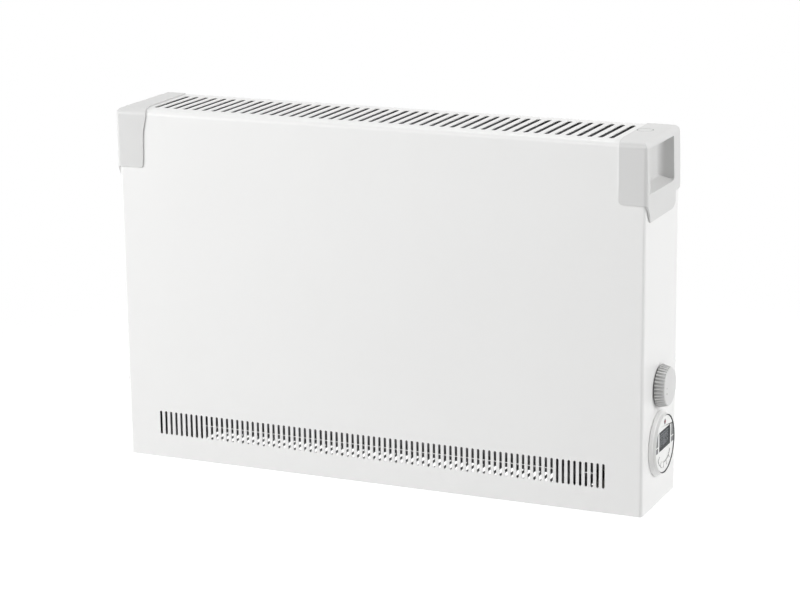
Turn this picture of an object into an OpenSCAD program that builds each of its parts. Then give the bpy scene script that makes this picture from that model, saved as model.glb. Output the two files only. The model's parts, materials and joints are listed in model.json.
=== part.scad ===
// Wall convector heater with a ribbed thermostat knob and a round timer on its right side.
// Millimetres, +Z up. The wall is the plane Y = 0 and the front faces -Y.
// The origin is the centre of the four wall screw holes, so the casing hangs from screw_rise below it.

/* [Casing] */
// Width across the two side panels
casing_w = 680; // [640:5:760]
// Height of the casing from its bottom edge to its top panel
casing_h = 442; // [430:2:500]
// Depth of the casing from its front panel to its back edge
casing_d = 120; // [116:1:150]
// Gap from the back edge of the casing to the wall
wall_gap = 2; // [2:0.5:6]
// Height of the wall screws above the bottom edge of the casing
screw_rise = 320; // [280:5:340]
// Thickness of the painted sheet of the cover
cover_t = 0.9; // [0.8:0.1:1.6]
// Outer radius of the cover's upright folds
fold_r = 4; // [3:0.5:6]
// Outer radius of the fold between the front and the top
top_fold_r = 7; // [4:0.5:9]
// Radius of the cover's upper corners, seen from the front
corner_r = 6.5; // [4:0.5:9]
// Width of the return flanges at the back and bottom of the cover
flange_w = 14; // [12:1:18]

/* [Lower grille] */
// Number of upright slots
inlet_count = 83; // [40:1:83]
// Distance from slot to slot
inlet_pitch = 7.16; // [6:0.02:7.4]
// Width of a slot
inlet_w = 3.2; // [2:0.1:4]
// Height of a slot
inlet_h = 30; // [20:1:40]
// Height of the bottom of the slots above the bottom edge
inlet_z = 30; // [24:1:50]
// How far the middle of the row lies from the middle of the casing
inlet_shift = -1.2; // [-4:0.1:4]

/* [Top grille] */
// Number of front-to-back slots
outlet_count = 46; // [20:1:46]
// Distance from slot to slot
outlet_pitch = 13.08; // [10:0.02:13.2]
// Width of a slot
outlet_w = 6.5; // [3:0.1:7.5]
// Length of a slot
outlet_l = 86; // [60:1:88]
// Distance from the front panel to the front ends of the slots
outlet_y = 21; // [18:0.2:24]
// How far the middle of the row lies from the middle of the casing
outlet_shift = -4.2; // [-6:0.1:6]

/* [End caps] */
// Height of a cap's front band
cap_drop = 71.5; // [66:0.5:80]
// Width of the right cap's front band
right_band = 31.8; // [28:0.2:34]
// Width of the right cap at the back of the top panel
right_top_band = 37.5; // [30:0.5:40]
// Width of the left cap at the fold between front and top
left_band = 39.6; // [34:0.2:42]
// Width of the left cap at the bottom of its front band
left_band_low = 33.4; // [30:0.2:38]
// Width of the left cap at the back of the top panel
left_top_band = 30; // [28:0.5:34]
// How far the cap stands out from the front and the top of the casing
cap_lip = 1.5; // [1.3:0.1:2.5]
// How far the cap stands out from the side at its top
cap_side_top = 1.3; // [1.2:0.1:2.5]
// How far the cap stands out from the side at the bottom of its front band
cap_side_low = 3.1; // [2.6:0.1:5]
// Depth of the tab below the front band
tab_drop = 21.5; // [16:0.5:28]
// Distance of the tab's lower front corner from the front panel
tab_tip = 13; // [8:0.5:20]
// Width of the narrow strip of the cap behind the tab
tab_rear = 18; // [14:0.5:24]
// Height over which the tab thins out towards its lower edge
tab_taper = 8; // [4:0.5:12]
// Radius of the upright edge between the cap's front and side
cap_edge_r = 5.5; // [4:0.5:8]

/* [Handle pocket] */
// Depth of the pocket from the cap's side face
pocket_depth = 18; // [15:0.5:24]
// Distance of the pocket's front rim from the casing's front panel
pocket_front = 8; // [7:0.5:14]
// Distance of the pocket's rear wall from the casing's back edge
pocket_rear = 23.3; // [20:0.5:34]
// Length of the scooped floor behind the front rim
scoop_l = 42; // [30:1:50]
// Distance of the pocket's top from the casing's top
pocket_top = 7; // [6.5:0.5:12]
// Height of the pocket at its mouth
pocket_h = 52; // [44:1:54]
// How far the pocket's bottom rises towards its floor
ledge_rise = 6; // [2:0.5:10]
// Radius between the pocket's floor and its rear wall
pocket_fillet = 9; // [5:0.5:10]
// Wall of the moulded pocket
pocket_wall = 2; // [1.5:0.1:3]

/* [Thermostat] */
// Distance of the knob's axis from the casing's front panel
control_y = 60; // [52:1:64]
// Height of the knob's axis above the bottom edge of the casing
knob_z = 144.4; // [140:1:200]
// Diameter of the knob at its base
knob_d = 51.4; // [40:0.2:54]
// How far the knob stands out from the side panel
knob_h = 14.4; // [12:0.2:20]
// Number of grip grooves round the knob
knob_grooves = 36; // [18:1:40]
// How much the knob's radius shrinks from base to face
knob_draft = 3; // [0.6:0.1:3.4]
// Diameter of the control shaft
shaft_d = 6; // [5:0.5:8]
// Running clearance round the shaft
shaft_gap = 0.06; // [0.03:0.01:0.1]

/* [Timer] */
// Height of the timer's axis above the bottom edge of the casing
timer_z = 73.9; // [70:0.5:76]
// Diameter of the bezel's outer rim
bezel_d = 79.4; // [76:0.2:84]
// How far the bezel stands out from the side panel
bezel_h = 8.4; // [8:0.2:12]
// Diameter of the mouth of the bezel, in which the face lies
bezel_mouth_d = 70.2; // [69:0.2:72]
// Groove between the face and the bezel
face_gap = 1; // [0.3:0.1:1.2]
// Width of the display window
window_w = 41; // [34:0.5:43]
// Height of the display window
window_h = 23.5; // [18:0.5:24]
// Height of the middle of the window above the timer's axis
window_rise = 6.75; // [6:0.25:8]
// Inner radius of the row of buttons
button_r_in = 22; // [21:0.2:23]
// Outer radius of the row of buttons
button_r_out = 28.6; // [27:0.2:29]
// Angle that the row of buttons covers
button_arc = 124; // [100:2:130]
// Travel of a button
button_travel = 0.5; // [0.3:0.05:0.8]

/* [Wall bracket] */
// Distance between the wall screws, side to side
screw_dx = 340; // [240:10:400]
// Distance between the wall screws, up and down
screw_dz = 30; // [24:1:40]
// Diameter of the wall screw holes
screw_hole_d = 5.5; // [4:0.5:7]
// Distance of each hook from the middle
hook_x = 120; // [90:5:140]
// Width of a hook
hook_w = 26; // [18:1:34]
// Depth of the recess in the back panel, from the wall
recess_d = 16; // [14:0.5:20]

/* [Inside] */
// Distance of the control partition from the right side panel
control_w = 111; // [100:1:124]
// Height of the heating elements above the bottom edge of the casing
element_z = 118; // [110:1:150]
// Distance between the two heating elements
element_dy = 38; // [34:1:46]
// Radius of the fins on the elements
fin_r = 15; // [11:0.5:16]
// Distance from fin to fin
fin_pitch = 7; // [5:0.5:12]
// Number of long slots in the base plate
base_slots = 46; // [20:1:46]
// Distance from base slot to base slot
base_pitch = 10.74; // [9:0.02:10.8]
// Width of a base slot
base_slot_w = 6.6; // [4:0.1:7]
// Height of the base plate above the bottom edge of the casing
base_rise = 6; // [4:0.5:8]

/* [Hidden] */
$fn = 48;

// Planes of the casing
half_w = casing_w / 2;
y_back = -wall_gap;
y_front = y_back - casing_d;
y_axis = y_front + control_y;
// Clearance between pieces that seat on each other
seat = 0.3;
// A cut runs this far past the face that it opens
past = 1;
// Steps in a quarter turn of a drawn outline
arc_steps = 10;
// Thickness of the unpainted inner sheets
sheet_t = 0.7;
// Shank and head of the pan head screws
shank_r = 1.7;
head_r = 3.5;
head_h = 1.5;
hole_gap = 0.1;
// Flat push-on terminals at the back of the two controls
blade_t = 0.8;
blade_w = 6.3;
blade_l = 8;

// Small helpers

// Everything is drawn from the bottom edge of the casing and then hung from the wall screws
module hung() {
  translate([0, 0, -screw_rise]) children();
}

// A flat outline in X and Z, from y0 towards the front by depth
module upright(y0, depth) {
  translate([0, y0, 0]) rotate([90, 0, 0]) linear_extrude(depth) children();
}

// A flat outline in Y and Z, from x0 to the right by depth
module sideways(x0, depth) {
  translate([x0, 0, 0]) rotate([90, 0, 90]) linear_extrude(depth) children();
}

// A turned outline on the side panel: radius across, height away from the panel
module turned_on_side(z) {
  translate([half_w, y_axis, z]) rotate([0, 90, 0]) rotate_extrude() children();
}

// A straight cylinder along X
module x_rod(x0, x1, r) {
  translate([x0, 0, 0]) rotate([0, 90, 0]) cylinder(r = r, h = x1 - x0);
}

// A straight cylinder along Y
module y_rod(y0, y1, r) {
  translate([0, y0, 0]) rotate([-90, 0, 0]) cylinder(r = r, h = y1 - y0);
}

// A box between two corners
module block(low, high) {
  translate(low) cube(high - low);
}

// The part of a square corner that lies outside its rounding
module corner_waste(r) {
  difference() {
    translate([-past, -past]) square(r + past);
    translate([r, r]) circle(r);
  }
}

// A slot with round ends, standing on the origin
module slot(w, l) {
  translate([-w / 2, w / 2]) square([w, l - w]);
  translate([0, w / 2]) circle(d = w);
  translate([0, l - w / 2]) circle(d = w);
}

function unit(v) = v / norm(v);

// The arc that rounds corner b of the path a, b, c
function corner_arc(a, b, c, r) =
  let (u = unit(a - b))
  let (v = unit(c - b))
  let (half = acos(u * v) / 2)
  let (centre = b + unit(u + v) * r / sin(half))
  let (from = b + u * r / tan(half) - centre)
  let (to = b + v * r / tan(half) - centre)
  let (a0 = atan2(from.y, from.x))
  let (turn = (atan2(to.y, to.x) - a0 + 540) % 360 - 180)
  [for (i = [0:arc_steps]) centre + r * [cos(a0 + turn * i / arc_steps), sin(a0 + turn * i / arc_steps)]];

// Whether the path a, b, c turns at b
function turns(a, b, c) =
  let (u = unit([b.x - a.x, b.y - a.y]))
  let (v = unit([c.x - b.x, c.y - b.y]))
  u * v < 0.9999;

// An outline from corners of the form [x, y, radius]
function rounded(corners) =
  let (n = len(corners))
  [for (i = [0:n - 1])
    let (a = corners[(i + n - 1) % n])
    let (b = corners[i])
    let (c = corners[(i + 1) % n])
    each b[2] > 0 && turns(a, b, c)
      ? corner_arc([a.x, a.y], [b.x, b.y], [c.x, c.y], b[2])
      : [[b.x, b.y]]];

// Casing

// The outer form of the folded cover, grown by g, from y_rear forward and from z_low up
module casing_form(g, y_rear, z_low) {
  w = half_w + g;
  front = y_front - g;
  top = casing_h + g;
  intersection() {
    translate([0, 0, z_low]) linear_extrude(top - z_low) difference() {
      translate([-w, front]) square([2 * w, y_rear - front]);
      translate([-w, front]) corner_waste(fold_r + g);
      translate([w, front]) mirror([1, 0]) corner_waste(fold_r + g);
    }
    sideways(-w - past, 2 * (w + past)) difference() {
      translate([front, z_low]) square([y_rear - front, top - z_low]);
      translate([front, top]) mirror([0, 1]) corner_waste(top_fold_r + g);
    }
    upright(y_rear + past, y_rear - front + 2 * past) difference() {
      translate([-w, z_low]) square([2 * w, top - z_low]);
      translate([-w, top]) mirror([0, 1]) corner_waste(corner_r + g);
      translate([w, top]) rotate(180) corner_waste(corner_r + g);
    }
  }
}

module inlet_slots() {
  for (i = [0:inlet_count - 1])
    translate([inlet_shift + (i - (inlet_count - 1) / 2) * inlet_pitch, inlet_z]) slot(inlet_w, inlet_h);
}

module outlet_slots() {
  for (i = [0:outlet_count - 1])
    translate([outlet_shift + (i - (outlet_count - 1) / 2) * outlet_pitch, y_front + outlet_y])
      slot(outlet_w, outlet_l);
}

// Height of each row of casing screws
casing_screw_rows = [30, casing_h / 3, casing_h * 2 / 3, casing_h - 38];
casing_screw_x = half_w - flange_w / 2;

module at_casing_screws() {
  for (side = [-1, 1])
    for (z = casing_screw_rows)
      translate([side * casing_screw_x, 0, z]) children();
}

// Bosses of the caps pass through the side panels here
boss_r = 3.4;
boss_z = casing_h - cap_drop - 11.5;
boss_ys = [y_front + 26, y_back - 32];

module at_cap_bosses() {
  for (y = boss_ys)
    translate([0, y, boss_z]) children();
}

module front_cover() {
  inner_w = half_w - flange_w;
  color("white") hung() difference() {
    casing_form(0, y_back, 0);
    casing_form(-cover_t, y_back - cover_t, cover_t);
    block([-inner_w, y_back - cover_t - past, -past], [inner_w, y_back + past, casing_h - flange_w]);
    block([-inner_w, y_front + flange_w, -past], [inner_w, y_back + past, cover_t + past]);
    upright(y_front + cover_t + past, cover_t + 2 * past) inlet_slots();
    translate([0, 0, casing_h - cover_t - past]) linear_extrude(cover_t + 2 * past) outlet_slots();
    at_casing_screws() y_rod(y_back - cover_t - past, y_back + past, shank_r + hole_gap);
    for (side = [0, 1]) mirror([side, 0, 0]) {
      pocket_window();
      at_cap_bosses() x_rod(half_w - cover_t - past, half_w + past, boss_r + hole_gap);
    }
    translate([half_w, y_axis, knob_z]) x_rod(-cover_t - past, past, bush_r + hole_gap);
    translate([half_w, y_axis, timer_z]) x_rod(-cover_t - past, past, timer_hole_r);
  }
}

// Inside planes of the back panel
rim_front = y_back - cover_t - seat - sheet_t;
pan_back = -recess_d + sheet_t;
pan_front = -recess_d;
pan_half_w = half_w - flange_w - 10;
pan_low = 22;
pan_high = casing_h - flange_w - 8;
panel_low = base_rise + seat;
hook_z = screw_dz / 2 + 10;
hook_entry = 12;
buffer_z = 40;
buffer_x = pan_half_w - 58;
buffer_stem_r = 3;
buffer_r = 9;

module back_panel() {
  rim_w = half_w - cover_t - 0.5;
  rim_top = casing_h - cover_t - 0.5;
  color("gainsboro") difference() {
    hung() difference() {
      union() {
        upright(rim_front + sheet_t, sheet_t) polygon(rounded([
          [-rim_w, panel_low, 0], [rim_w, panel_low, 0],
          [rim_w, rim_top, corner_r - cover_t], [-rim_w, rim_top, corner_r - cover_t]
        ]));
        block([-pan_half_w, pan_front, pan_low], [pan_half_w, rim_front + sheet_t, pan_high]);
      }
      block([-pan_half_w + sheet_t, pan_back, pan_low + sheet_t],
        [pan_half_w - sheet_t, past, pan_high - sheet_t]);
      at_casing_screws() y_rod(rim_front - past, past, shank_r + hole_gap);
      for (side = [-1, 1])
        translate([side * buffer_x, 0, buffer_z]) y_rod(pan_front - past, past, buffer_stem_r + hole_gap);
    }
    for (side = [-1, 1]) {
      x0 = side * hook_x - hook_w / 2 - 1.5;
      block([x0, pan_front - past, hook_z - hook_t - hook_entry], [x0 + hook_w + 3, past, hook_z + seat]);
    }
  }
}

base_shift = -25.8;
base_slot_l = 84;
base_slot_rear = 17;
vent_in = 86.5;
vent_x = half_w - vent_in;
foot_x = half_w - 41;
foot_ys = [y_front + 32, y_back - 33];
foot_r = 2.25;
gland_x = half_w - 40;
gland_y = y_back - 62;

module at_foot_holes() {
  for (side = [-1, 1])
    for (y = foot_ys)
      translate([side * foot_x, y, 0]) children();
}

module base_plate() {
  w = half_w - cover_t - 0.5;
  front = y_front + cover_t + 0.5;
  rear = rim_front - seat;
  low = cover_t + seat;
  color("gainsboro") hung() difference() {
    block([-w, front, low], [w, rear, base_rise]);
    block([-w + sheet_t, front + sheet_t, low - past], [w - sheet_t, rear - sheet_t, base_rise - sheet_t]);
    for (x = [-w, w]) translate([x, front, 0]) cylinder(r = fold_r, h = 3 * base_rise, center = true);
    translate([0, 0, base_rise - sheet_t - past]) linear_extrude(sheet_t + 2 * past) {
      for (i = [0:base_slots - 1]) {
        x = base_shift + (i - (base_slots - 1) / 2) * base_pitch;
        translate([x, y_back - base_slot_rear - base_slot_l]) slot(base_slot_w, base_slot_l);
      }
      for (i = [0, 1])
        translate([vent_x + i * base_pitch, y_back - base_slot_rear - base_slot_l / 3])
          slot(base_slot_w, base_slot_l / 3);
    }
    at_foot_holes() cylinder(r = foot_r, h = 3 * base_rise, center = true);
    translate([gland_x, gland_y, 0]) cylinder(r = gland_r + hole_gap, h = 3 * base_rise, center = true);
  }
}

module casing_screws() {
  color("silver") hung() at_casing_screws() {
    y_rod(y_back + 0.05, y_back + 0.05 + head_h, head_r);
    y_rod(rim_front - 4, y_back + 0.5, shank_r);
  }
}

// End caps

cap_low = casing_h - cap_drop;
tab_low = cap_low - tab_drop;
tab_edge = 1.2;
strip_low = cap_low - 3;
strip_bevel = 3.5;
side_top = half_w + cap_side_top;
side_low = half_w + cap_side_low;
cap_top = casing_h + cap_lip;
cap_front = y_front - cap_lip;
cap_screw_end = half_w + cap_side_low - 1.6;
pocket_face = (side_top + side_low) / 2;
pocket_floor = pocket_face - pocket_depth;
pocket_rim = y_front + pocket_front;
pocket_back = y_back - pocket_rear;
pocket_draft = 4;
pocket_ceiling = casing_h - pocket_top;
scoop_r = (scoop_l * scoop_l + pocket_depth * pocket_depth) / (2 * pocket_depth);
scoop_steps = 16;
mouth_out = 12;

// Plan of the pocket: a scooped floor from the front rim, then a flat floor to a drafted rear wall
function pocket_plan(g) =
  let (centre = [pocket_floor + scoop_r, pocket_rim + scoop_l])
  let (sweep = asin(scoop_l / scoop_r))
  let (rim = centre - (scoop_r + g) * [cos(sweep), sin(sweep)])
  concat(
    [[rim.x + mouth_out * sin(sweep), rim.y - mouth_out * cos(sweep)]],
    [for (i = [0:scoop_steps])
      centre - (scoop_r + g) * [cos(sweep * (1 - i / scoop_steps)), sin(sweep * (1 - i / scoop_steps))]],
    corner_arc([pocket_floor - g, centre.y], [pocket_floor - g, pocket_back - pocket_draft + g],
      [pocket_face, pocket_back + g], pocket_fillet + g),
    [[pocket_face + mouth_out, pocket_back + g + pocket_draft * mouth_out / pocket_depth]]
  );

// The hollow of the pocket, grown by g
module pocket_form(g) {
  low_mouth = pocket_ceiling - pocket_h - g;
  far = pocket_face + mouth_out;
  slope = ledge_rise / pocket_depth;
  intersection() {
    translate([0, 0, low_mouth - past]) linear_extrude(pocket_h + 2 * g + 2 * past) polygon(pocket_plan(g));
    upright(y_back, casing_d) polygon(rounded([
      [pocket_floor - g, low_mouth + ledge_rise + slope * g, 5],
      [far, low_mouth - slope * mouth_out, 0],
      [far, pocket_ceiling + g, 0],
      [pocket_floor - g, pocket_ceiling + g, 2]
    ]));
    sideways(pocket_floor - g - past, mouth_out + pocket_depth + g + 2 * past) polygon(rounded([
      [pocket_rim - 12 - g, low_mouth, 10 + g],
      [pocket_back + 2 + g, low_mouth, 8 + g],
      [pocket_back + 2 + g, pocket_ceiling + g, 3 + g],
      [pocket_rim - 12 - g, pocket_ceiling + g, 12 + g]
    ]));
  }
}

// The opening in a side panel through which the pocket passes
module pocket_window() {
  room = pocket_wall + seat;
  block([half_w - cover_t - past, pocket_rim - room, pocket_ceiling - pocket_h - room - 1],
    [half_w + past, pocket_back + room + 1, pocket_ceiling + room]);
}

// The inner edge of a cap bends softly here, on the front and on the top
bend_share = 0.28;
bend_drop = 28;
bend_back = 24;
bend_r = 35;

// Outline of a cap seen from the front, for the right side
function cap_front_outline(band, band_low, top_band) = rounded([
  [half_w - 6, tab_low - past, 0],
  [half_w - 6, cap_low, 0],
  [half_w - band_low, cap_low, 4.5],
  [half_w - band_low - bend_share * (band - band_low), casing_h - bend_drop, bend_r],
  [half_w - band, casing_h - top_fold_r, 0],
  [half_w - max(band, top_band), casing_h, 0],
  [half_w - max(band, top_band), cap_top, 0],
  [side_top, cap_top, corner_r + cap_lip],
  [side_low, cap_low, 0],
  [side_low, tab_low + tab_taper, 10],
  [half_w + tab_edge, tab_low - past, 0]
]);

// Outline of a cap seen from the side
cap_side_outline = rounded([
  [cap_front, cap_low, 0],
  [y_front + 0.5, cap_low, 3],
  [y_front + tab_tip, tab_low, 2.5],
  [y_back - tab_rear, tab_low, 8],
  [y_back - tab_rear, strip_low, 3],
  [y_back, strip_low, 2],
  [y_back, cap_top, 2],
  [cap_front, cap_top, top_fold_r + cap_lip]
]);

// Plan of a cap
function cap_plan(band, top_band) = rounded([
  [half_w - top_band, y_back, 0],
  [half_w - top_band - bend_share * (band - top_band), y_front + bend_back, bend_r],
  [half_w - band, cap_front, 0],
  [side_low, cap_front, cap_edge_r],
  [side_low, y_back, 2]
]);

// How far a cap's widest band reaches in from the side
cap_reach = max(left_band, right_band, left_top_band, right_top_band) + 20;

// The bevel at the lower end of the strip behind the tab
module strip_end_waste() {
  rise = strip_bevel / (cap_side_low - seat);
  upright(0, wall_gap + tab_rear) polygon([
    [half_w + seat, strip_low],
    [side_low + past, strip_low + strip_bevel + past * rise],
    [side_low + past, tab_low]
  ]);
}

module end_cap(band, band_low, top_band) {
  difference() {
    union() {
      difference() {
        intersection() {
          upright(0, casing_d + wall_gap + 4 * past)
            polygon(cap_front_outline(band, band_low, top_band));
          sideways(half_w - cap_reach, cap_reach + cap_side_low + past) polygon(cap_side_outline);
          translate([0, 0, tab_low - past]) linear_extrude(cap_drop + tab_drop + 4 * past)
            polygon(cap_plan(band, top_band));
        }
        casing_form(seat, past, 0);
      }
      intersection() {
        pocket_form(pocket_wall);
        block([0, y_front, tab_low], [half_w + cap_side_top - 0.4, y_back, casing_h - cover_t - seat]);
      }
      at_cap_bosses() x_rod(half_w - cover_t + 0.1, half_w + past, boss_r);
    }
    pocket_form(0);
    strip_end_waste();
    at_cap_bosses() x_rod(half_w - cover_t - past, cap_screw_end + 0.2, shank_r + hole_gap);
  }
}

// Ring moulded into the top of the right cap
mark_r = 10;
mark_line = 1.2;
mark_x = half_w - 26.4;
mark_y = y_front + 75.6;

module right_end_cap() {
  color("whitesmoke") hung() difference() {
    end_cap(right_band, right_band, right_top_band);
    translate([mark_x, mark_y, cap_top - 0.5]) difference() {
      cylinder(r = mark_r, h = past);
      cylinder(r = mark_r - mark_line, h = 3 * past, center = true);
    }
  }
}

module left_end_cap() {
  color("whitesmoke") hung() mirror([1, 0, 0]) end_cap(left_band, left_band_low, left_top_band);
}

module cap_screws() {
  color("silver") hung() for (side = [0, 1]) mirror([side, 0, 0]) at_cap_bosses() {
    x_rod(half_w - cover_t - 0.2 - head_h, half_w - cover_t - 0.2, 5);
    x_rod(half_w - cover_t - 0.5, cap_screw_end, shank_r);
  }
}

// Wall fixing

hook_t = 1.5;
hook_lip = 10;

module wall_bracket() {
  strip_w = screw_dx + 40;
  color("silver") difference() {
    union() {
      block([-strip_w / 2, -hook_t, -hook_z], [strip_w / 2, 0, hook_z]);
      for (side = [-1, 1]) {
        x0 = side * hook_x - hook_w / 2;
        reach = pan_front - 0.5 - hook_t;
        block([x0, reach, hook_z - hook_t], [x0 + hook_w, 0, hook_z]);
        block([x0, reach, hook_z - hook_t], [x0 + hook_w, reach + hook_t, hook_z + hook_lip]);
      }
    }
    for (x = [-1, 1], z = [-1, 1])
      translate([x * screw_dx / 2, 0, z * screw_dz / 2]) y_rod(-hook_t - past, past, screw_hole_d / 2);
  }
}

module wall_buffers() {
  color("dimgray") hung() for (side = [-1, 1]) translate([side * buffer_x, 0, buffer_z]) {
    y_rod(pan_back + 0.1, 0, buffer_r);
    y_rod(pan_front - 2, pan_back + 0.6, buffer_stem_r);
    y_rod(pan_front - 4, pan_front - 0.2, buffer_stem_r + 1.2);
  }
}

// Inside of the casing

partition_x = half_w - control_w;
inner_low = base_rise + seat;
inner_back = pan_front - seat;
inner_top = casing_h - 14;
bush_out_r = 9;
// Distances of the front element from the front panel and of the element bracket from the left side
element_in = 42;
bracket_in = 46;
element_ys = [y_front + element_in, y_front + element_in + element_dy];
tube_r = 4.2;
terminal_r = 2;
terminal_room = 5;
bracket_x = -half_w + bracket_in;
bracket_over = 26;
bracket_front_room = 24;
cutout_y = y_axis;
cutout_rise = 72;
cutout_z = element_z + cutout_rise;
cutout_r = 8.5;
// Width of the bent feet of the inner sheets, and how far the partition's rear foot ends below its top
foot_w = 12;
foot_drop = 20;

module control_partition() {
  front = y_front + cover_t + 3;
  color("silver") hung() difference() {
    union() {
      block([partition_x, front, inner_low], [partition_x + sheet_t, inner_back, inner_top]);
      block([partition_x, inner_back - sheet_t, pan_low + 4],
        [partition_x + foot_w, inner_back, inner_top - foot_drop]);
      block([partition_x, front, inner_low], [partition_x + foot_w, inner_back, inner_low + sheet_t]);
    }
    for (y = element_ys)
      translate([partition_x, y, element_z]) x_rod(-past, sheet_t + past, bush_out_r - 2 + hole_gap);
    translate([partition_x, cutout_y, cutout_z]) x_rod(-past, sheet_t + past, cutout_r + hole_gap);
  }
}

module heat_baffle() {
  front = y_front + 8;
  left = bracket_x - 24;
  low = inlet_z + inlet_h + 16;
  top = casing_h - 18;
  color("silver") hung() difference() {
    union() {
      block([left, front, low], [partition_x - seat, front + sheet_t, top]);
      block([left, front, low], [left + sheet_t, inner_back, top]);
      block([left, inner_back - sheet_t, low], [left + foot_w, inner_back, top - 4]);
    }
    for (y = element_ys)
      translate([left, y, element_z]) x_rod(-past, sheet_t + past, terminal_r + terminal_room);
  }
}

fin_t = 0.8;
fin_from = bracket_x + 24;
fin_count = floor((partition_x - 20 - fin_from) / fin_pitch);

// Outline of a finned tube: radius across, length up
function fin_outline(x_end) = concat(
  [[0, bracket_x - 14], [tube_r, bracket_x - 14]],
  [for (i = [0:fin_count - 1])
    let (x = fin_from + i * fin_pitch)
    each [[tube_r, x], [fin_r, x], [fin_r, x + fin_t], [tube_r, x + fin_t]]],
  [[tube_r, x_end], [0, x_end]]
);

module element(y) {
  x_end = partition_x + 12;
  color("darkgray") hung() translate([0, y, element_z]) {
    rotate([0, 90, 0]) rotate_extrude($fn = 32) polygon(fin_outline(x_end));
    x_rod(bracket_x - 26, bracket_x - 13, terminal_r);
    x_rod(x_end - past, x_end + 12, terminal_r);
  }
}

module front_element() {
  element(element_ys[0]);
}

module rear_element() {
  element(element_ys[1]);
}

module element_bracket() {
  front = element_ys[0] - bracket_front_room;
  rear = inner_back;
  top = element_z + bracket_over;
  color("silver") hung() difference() {
    union() {
      block([bracket_x, front, inner_low], [bracket_x + sheet_t, rear, top]);
      block([bracket_x, front, inner_low], [bracket_x + foot_w, rear, inner_low + sheet_t]);
      block([bracket_x, rear - sheet_t, pan_low + 4], [bracket_x + foot_w, rear, top]);
    }
    for (y = element_ys)
      translate([bracket_x, y, element_z]) x_rod(-past, sheet_t + past, bush_out_r - 2 + hole_gap);
  }
}

// A stepped ceramic collar whose neck sits in a sheet that starts at x
module ceramic_bush(x, y, flip) {
  neck = bush_out_r - 2;
  translate([x, y, element_z]) mirror([flip, 0, 0]) difference() {
    union() {
      x_rod(-seat - 6, -seat, bush_out_r);
      x_rod(-seat - past, sheet_t + 4, neck);
    }
    x_rod(-seat - 7, sheet_t + 5, tube_r + 0.15);
  }
}

module ceramic_bushes() {
  color("linen") hung() for (y = element_ys) {
    ceramic_bush(bracket_x, y, 0);
    ceramic_bush(partition_x + sheet_t, y, 1);
  }
}

module thermal_cutout() {
  color("silver") hung() translate([partition_x, cutout_y, cutout_z]) {
    x_rod(-seat - 3, sheet_t + 9, cutout_r);
    block([-seat - 0.8, -6, -15], [-seat, 6, 15]);
    for (y = [-4, 4])
      block([sheet_t + 8, y - 0.4, -3], [sheet_t + 18, y + 0.4, 3]);
  }
}

module terminal_block() {
  ways = 3;
  way_w = 12;
  depth = 20;
  tall = 17;
  x0 = partition_x + 28;
  y0 = y_back - 50;
  color("ivory") hung() translate([x0, y0, inner_low]) difference() {
    union() {
      cube([ways * way_w, depth, tall - 5]);
      for (i = [0:ways - 1])
        translate([i * way_w + 1.5, 2, 0]) cube([way_w - 3, depth - 4, tall]);
    }
    for (i = [0:ways - 1]) translate([(i + 0.5) * way_w, 0, 0]) {
      translate([0, 0, 7]) y_rod(-past, depth + past, 2);
      for (y = [6, 14])
        translate([0, y, 9]) cylinder(r = 2.2, h = tall);
    }
  }
}

gland_r = 8;
cable_r = 4;
gland_head_r = 11;

module cable_gland() {
  thread_top = base_rise + 11;
  color("dimgray") hung() translate([gland_x, gland_y, 0]) difference() {
    union() {
      translate([0, 0, base_rise - sheet_t - 4.5]) cylinder(r = gland_head_r, h = 4.2);
      translate([0, 0, base_rise - sheet_t - 4]) cylinder(r = gland_r, h = thread_top - 1);
    }
    translate([0, 0, -5]) cylinder(r = cable_r, h = thread_top + 30);
  }
}

module gland_nut() {
  nut_r = 12;
  color("dimgray") hung() translate([gland_x, gland_y, base_rise + seat]) difference() {
    cylinder(r = nut_r, h = 5, $fn = 6);
    translate([0, 0, -past]) cylinder(r = gland_r + hole_gap, h = 7);
  }
}

module earth_screw() {
  color("goldenrod") hung() translate([partition_x + 20, y_back - 73, base_rise]) {
    translate([0, 0, seat]) cylinder(r = 5, h = 1);
    translate([0, 0, seat + 0.9]) cylinder(r = 3.6, h = 2.4);
  }
}

// Thermostat

bush_r = 4.8;
bush_top = 3.9;
nut_top = 3.1;
hub_low = 4.5;
shaft_r = shaft_d / 2;
stat_w = 44;
stat_h = 46;
stat_t = 24;

module on_knob_axis() {
  hung() translate([half_w, y_axis, knob_z]) children();
}

module thermostat_body() {
  face = -cover_t - seat;
  color("beige") on_knob_axis() difference() {
    union() {
      block([face - stat_t, -stat_w / 2, -stat_h / 2], [face, stat_w / 2, stat_h / 2]);
      x_rod(face - past, bush_top, bush_r);
      for (y = [-14, 14], z = [-12, 12])
        block([face - stat_t - blade_l, y - blade_t / 2, z - blade_w / 2],
          [face - stat_t + 1, y + blade_t / 2, z + blade_w / 2]);
    }
    x_rod(-16 - seat, bush_top + past, shaft_r + shaft_gap);
  }
}

module thermostat_nut() {
  nut_r = 8;
  color("goldenrod") on_knob_axis() difference() {
    translate([seat, 0, 0]) rotate([0, 90, 0]) cylinder(r = nut_r, h = nut_top - seat, $fn = 6);
    x_rod(0, nut_top + past, bush_r + hole_gap);
  }
}

module shaft_section(gap) {
  flat = shaft_r - 1.2;
  intersection() {
    circle(shaft_r + gap);
    translate([-10, -10]) square([10 + flat + gap, 20]);
  }
}

shaft_end = knob_h - 3;

module thermostat_shaft() {
  color("silver") on_knob_axis() {
    x_rod(-16, hub_low - 0.2, shaft_r);
    translate([hub_low - 0.3, 0, 0]) rotate([0, 90, 0])
      linear_extrude(shaft_end - hub_low + 0.3) shaft_section(0);
  }
}

knob_r = knob_d / 2;
knob_base = 1.5;
knob_edge = 2.5;
groove_r = 1.5;
groove_depth = 1.35;
flank_h = knob_h - knob_base - 1 - knob_edge;

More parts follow.
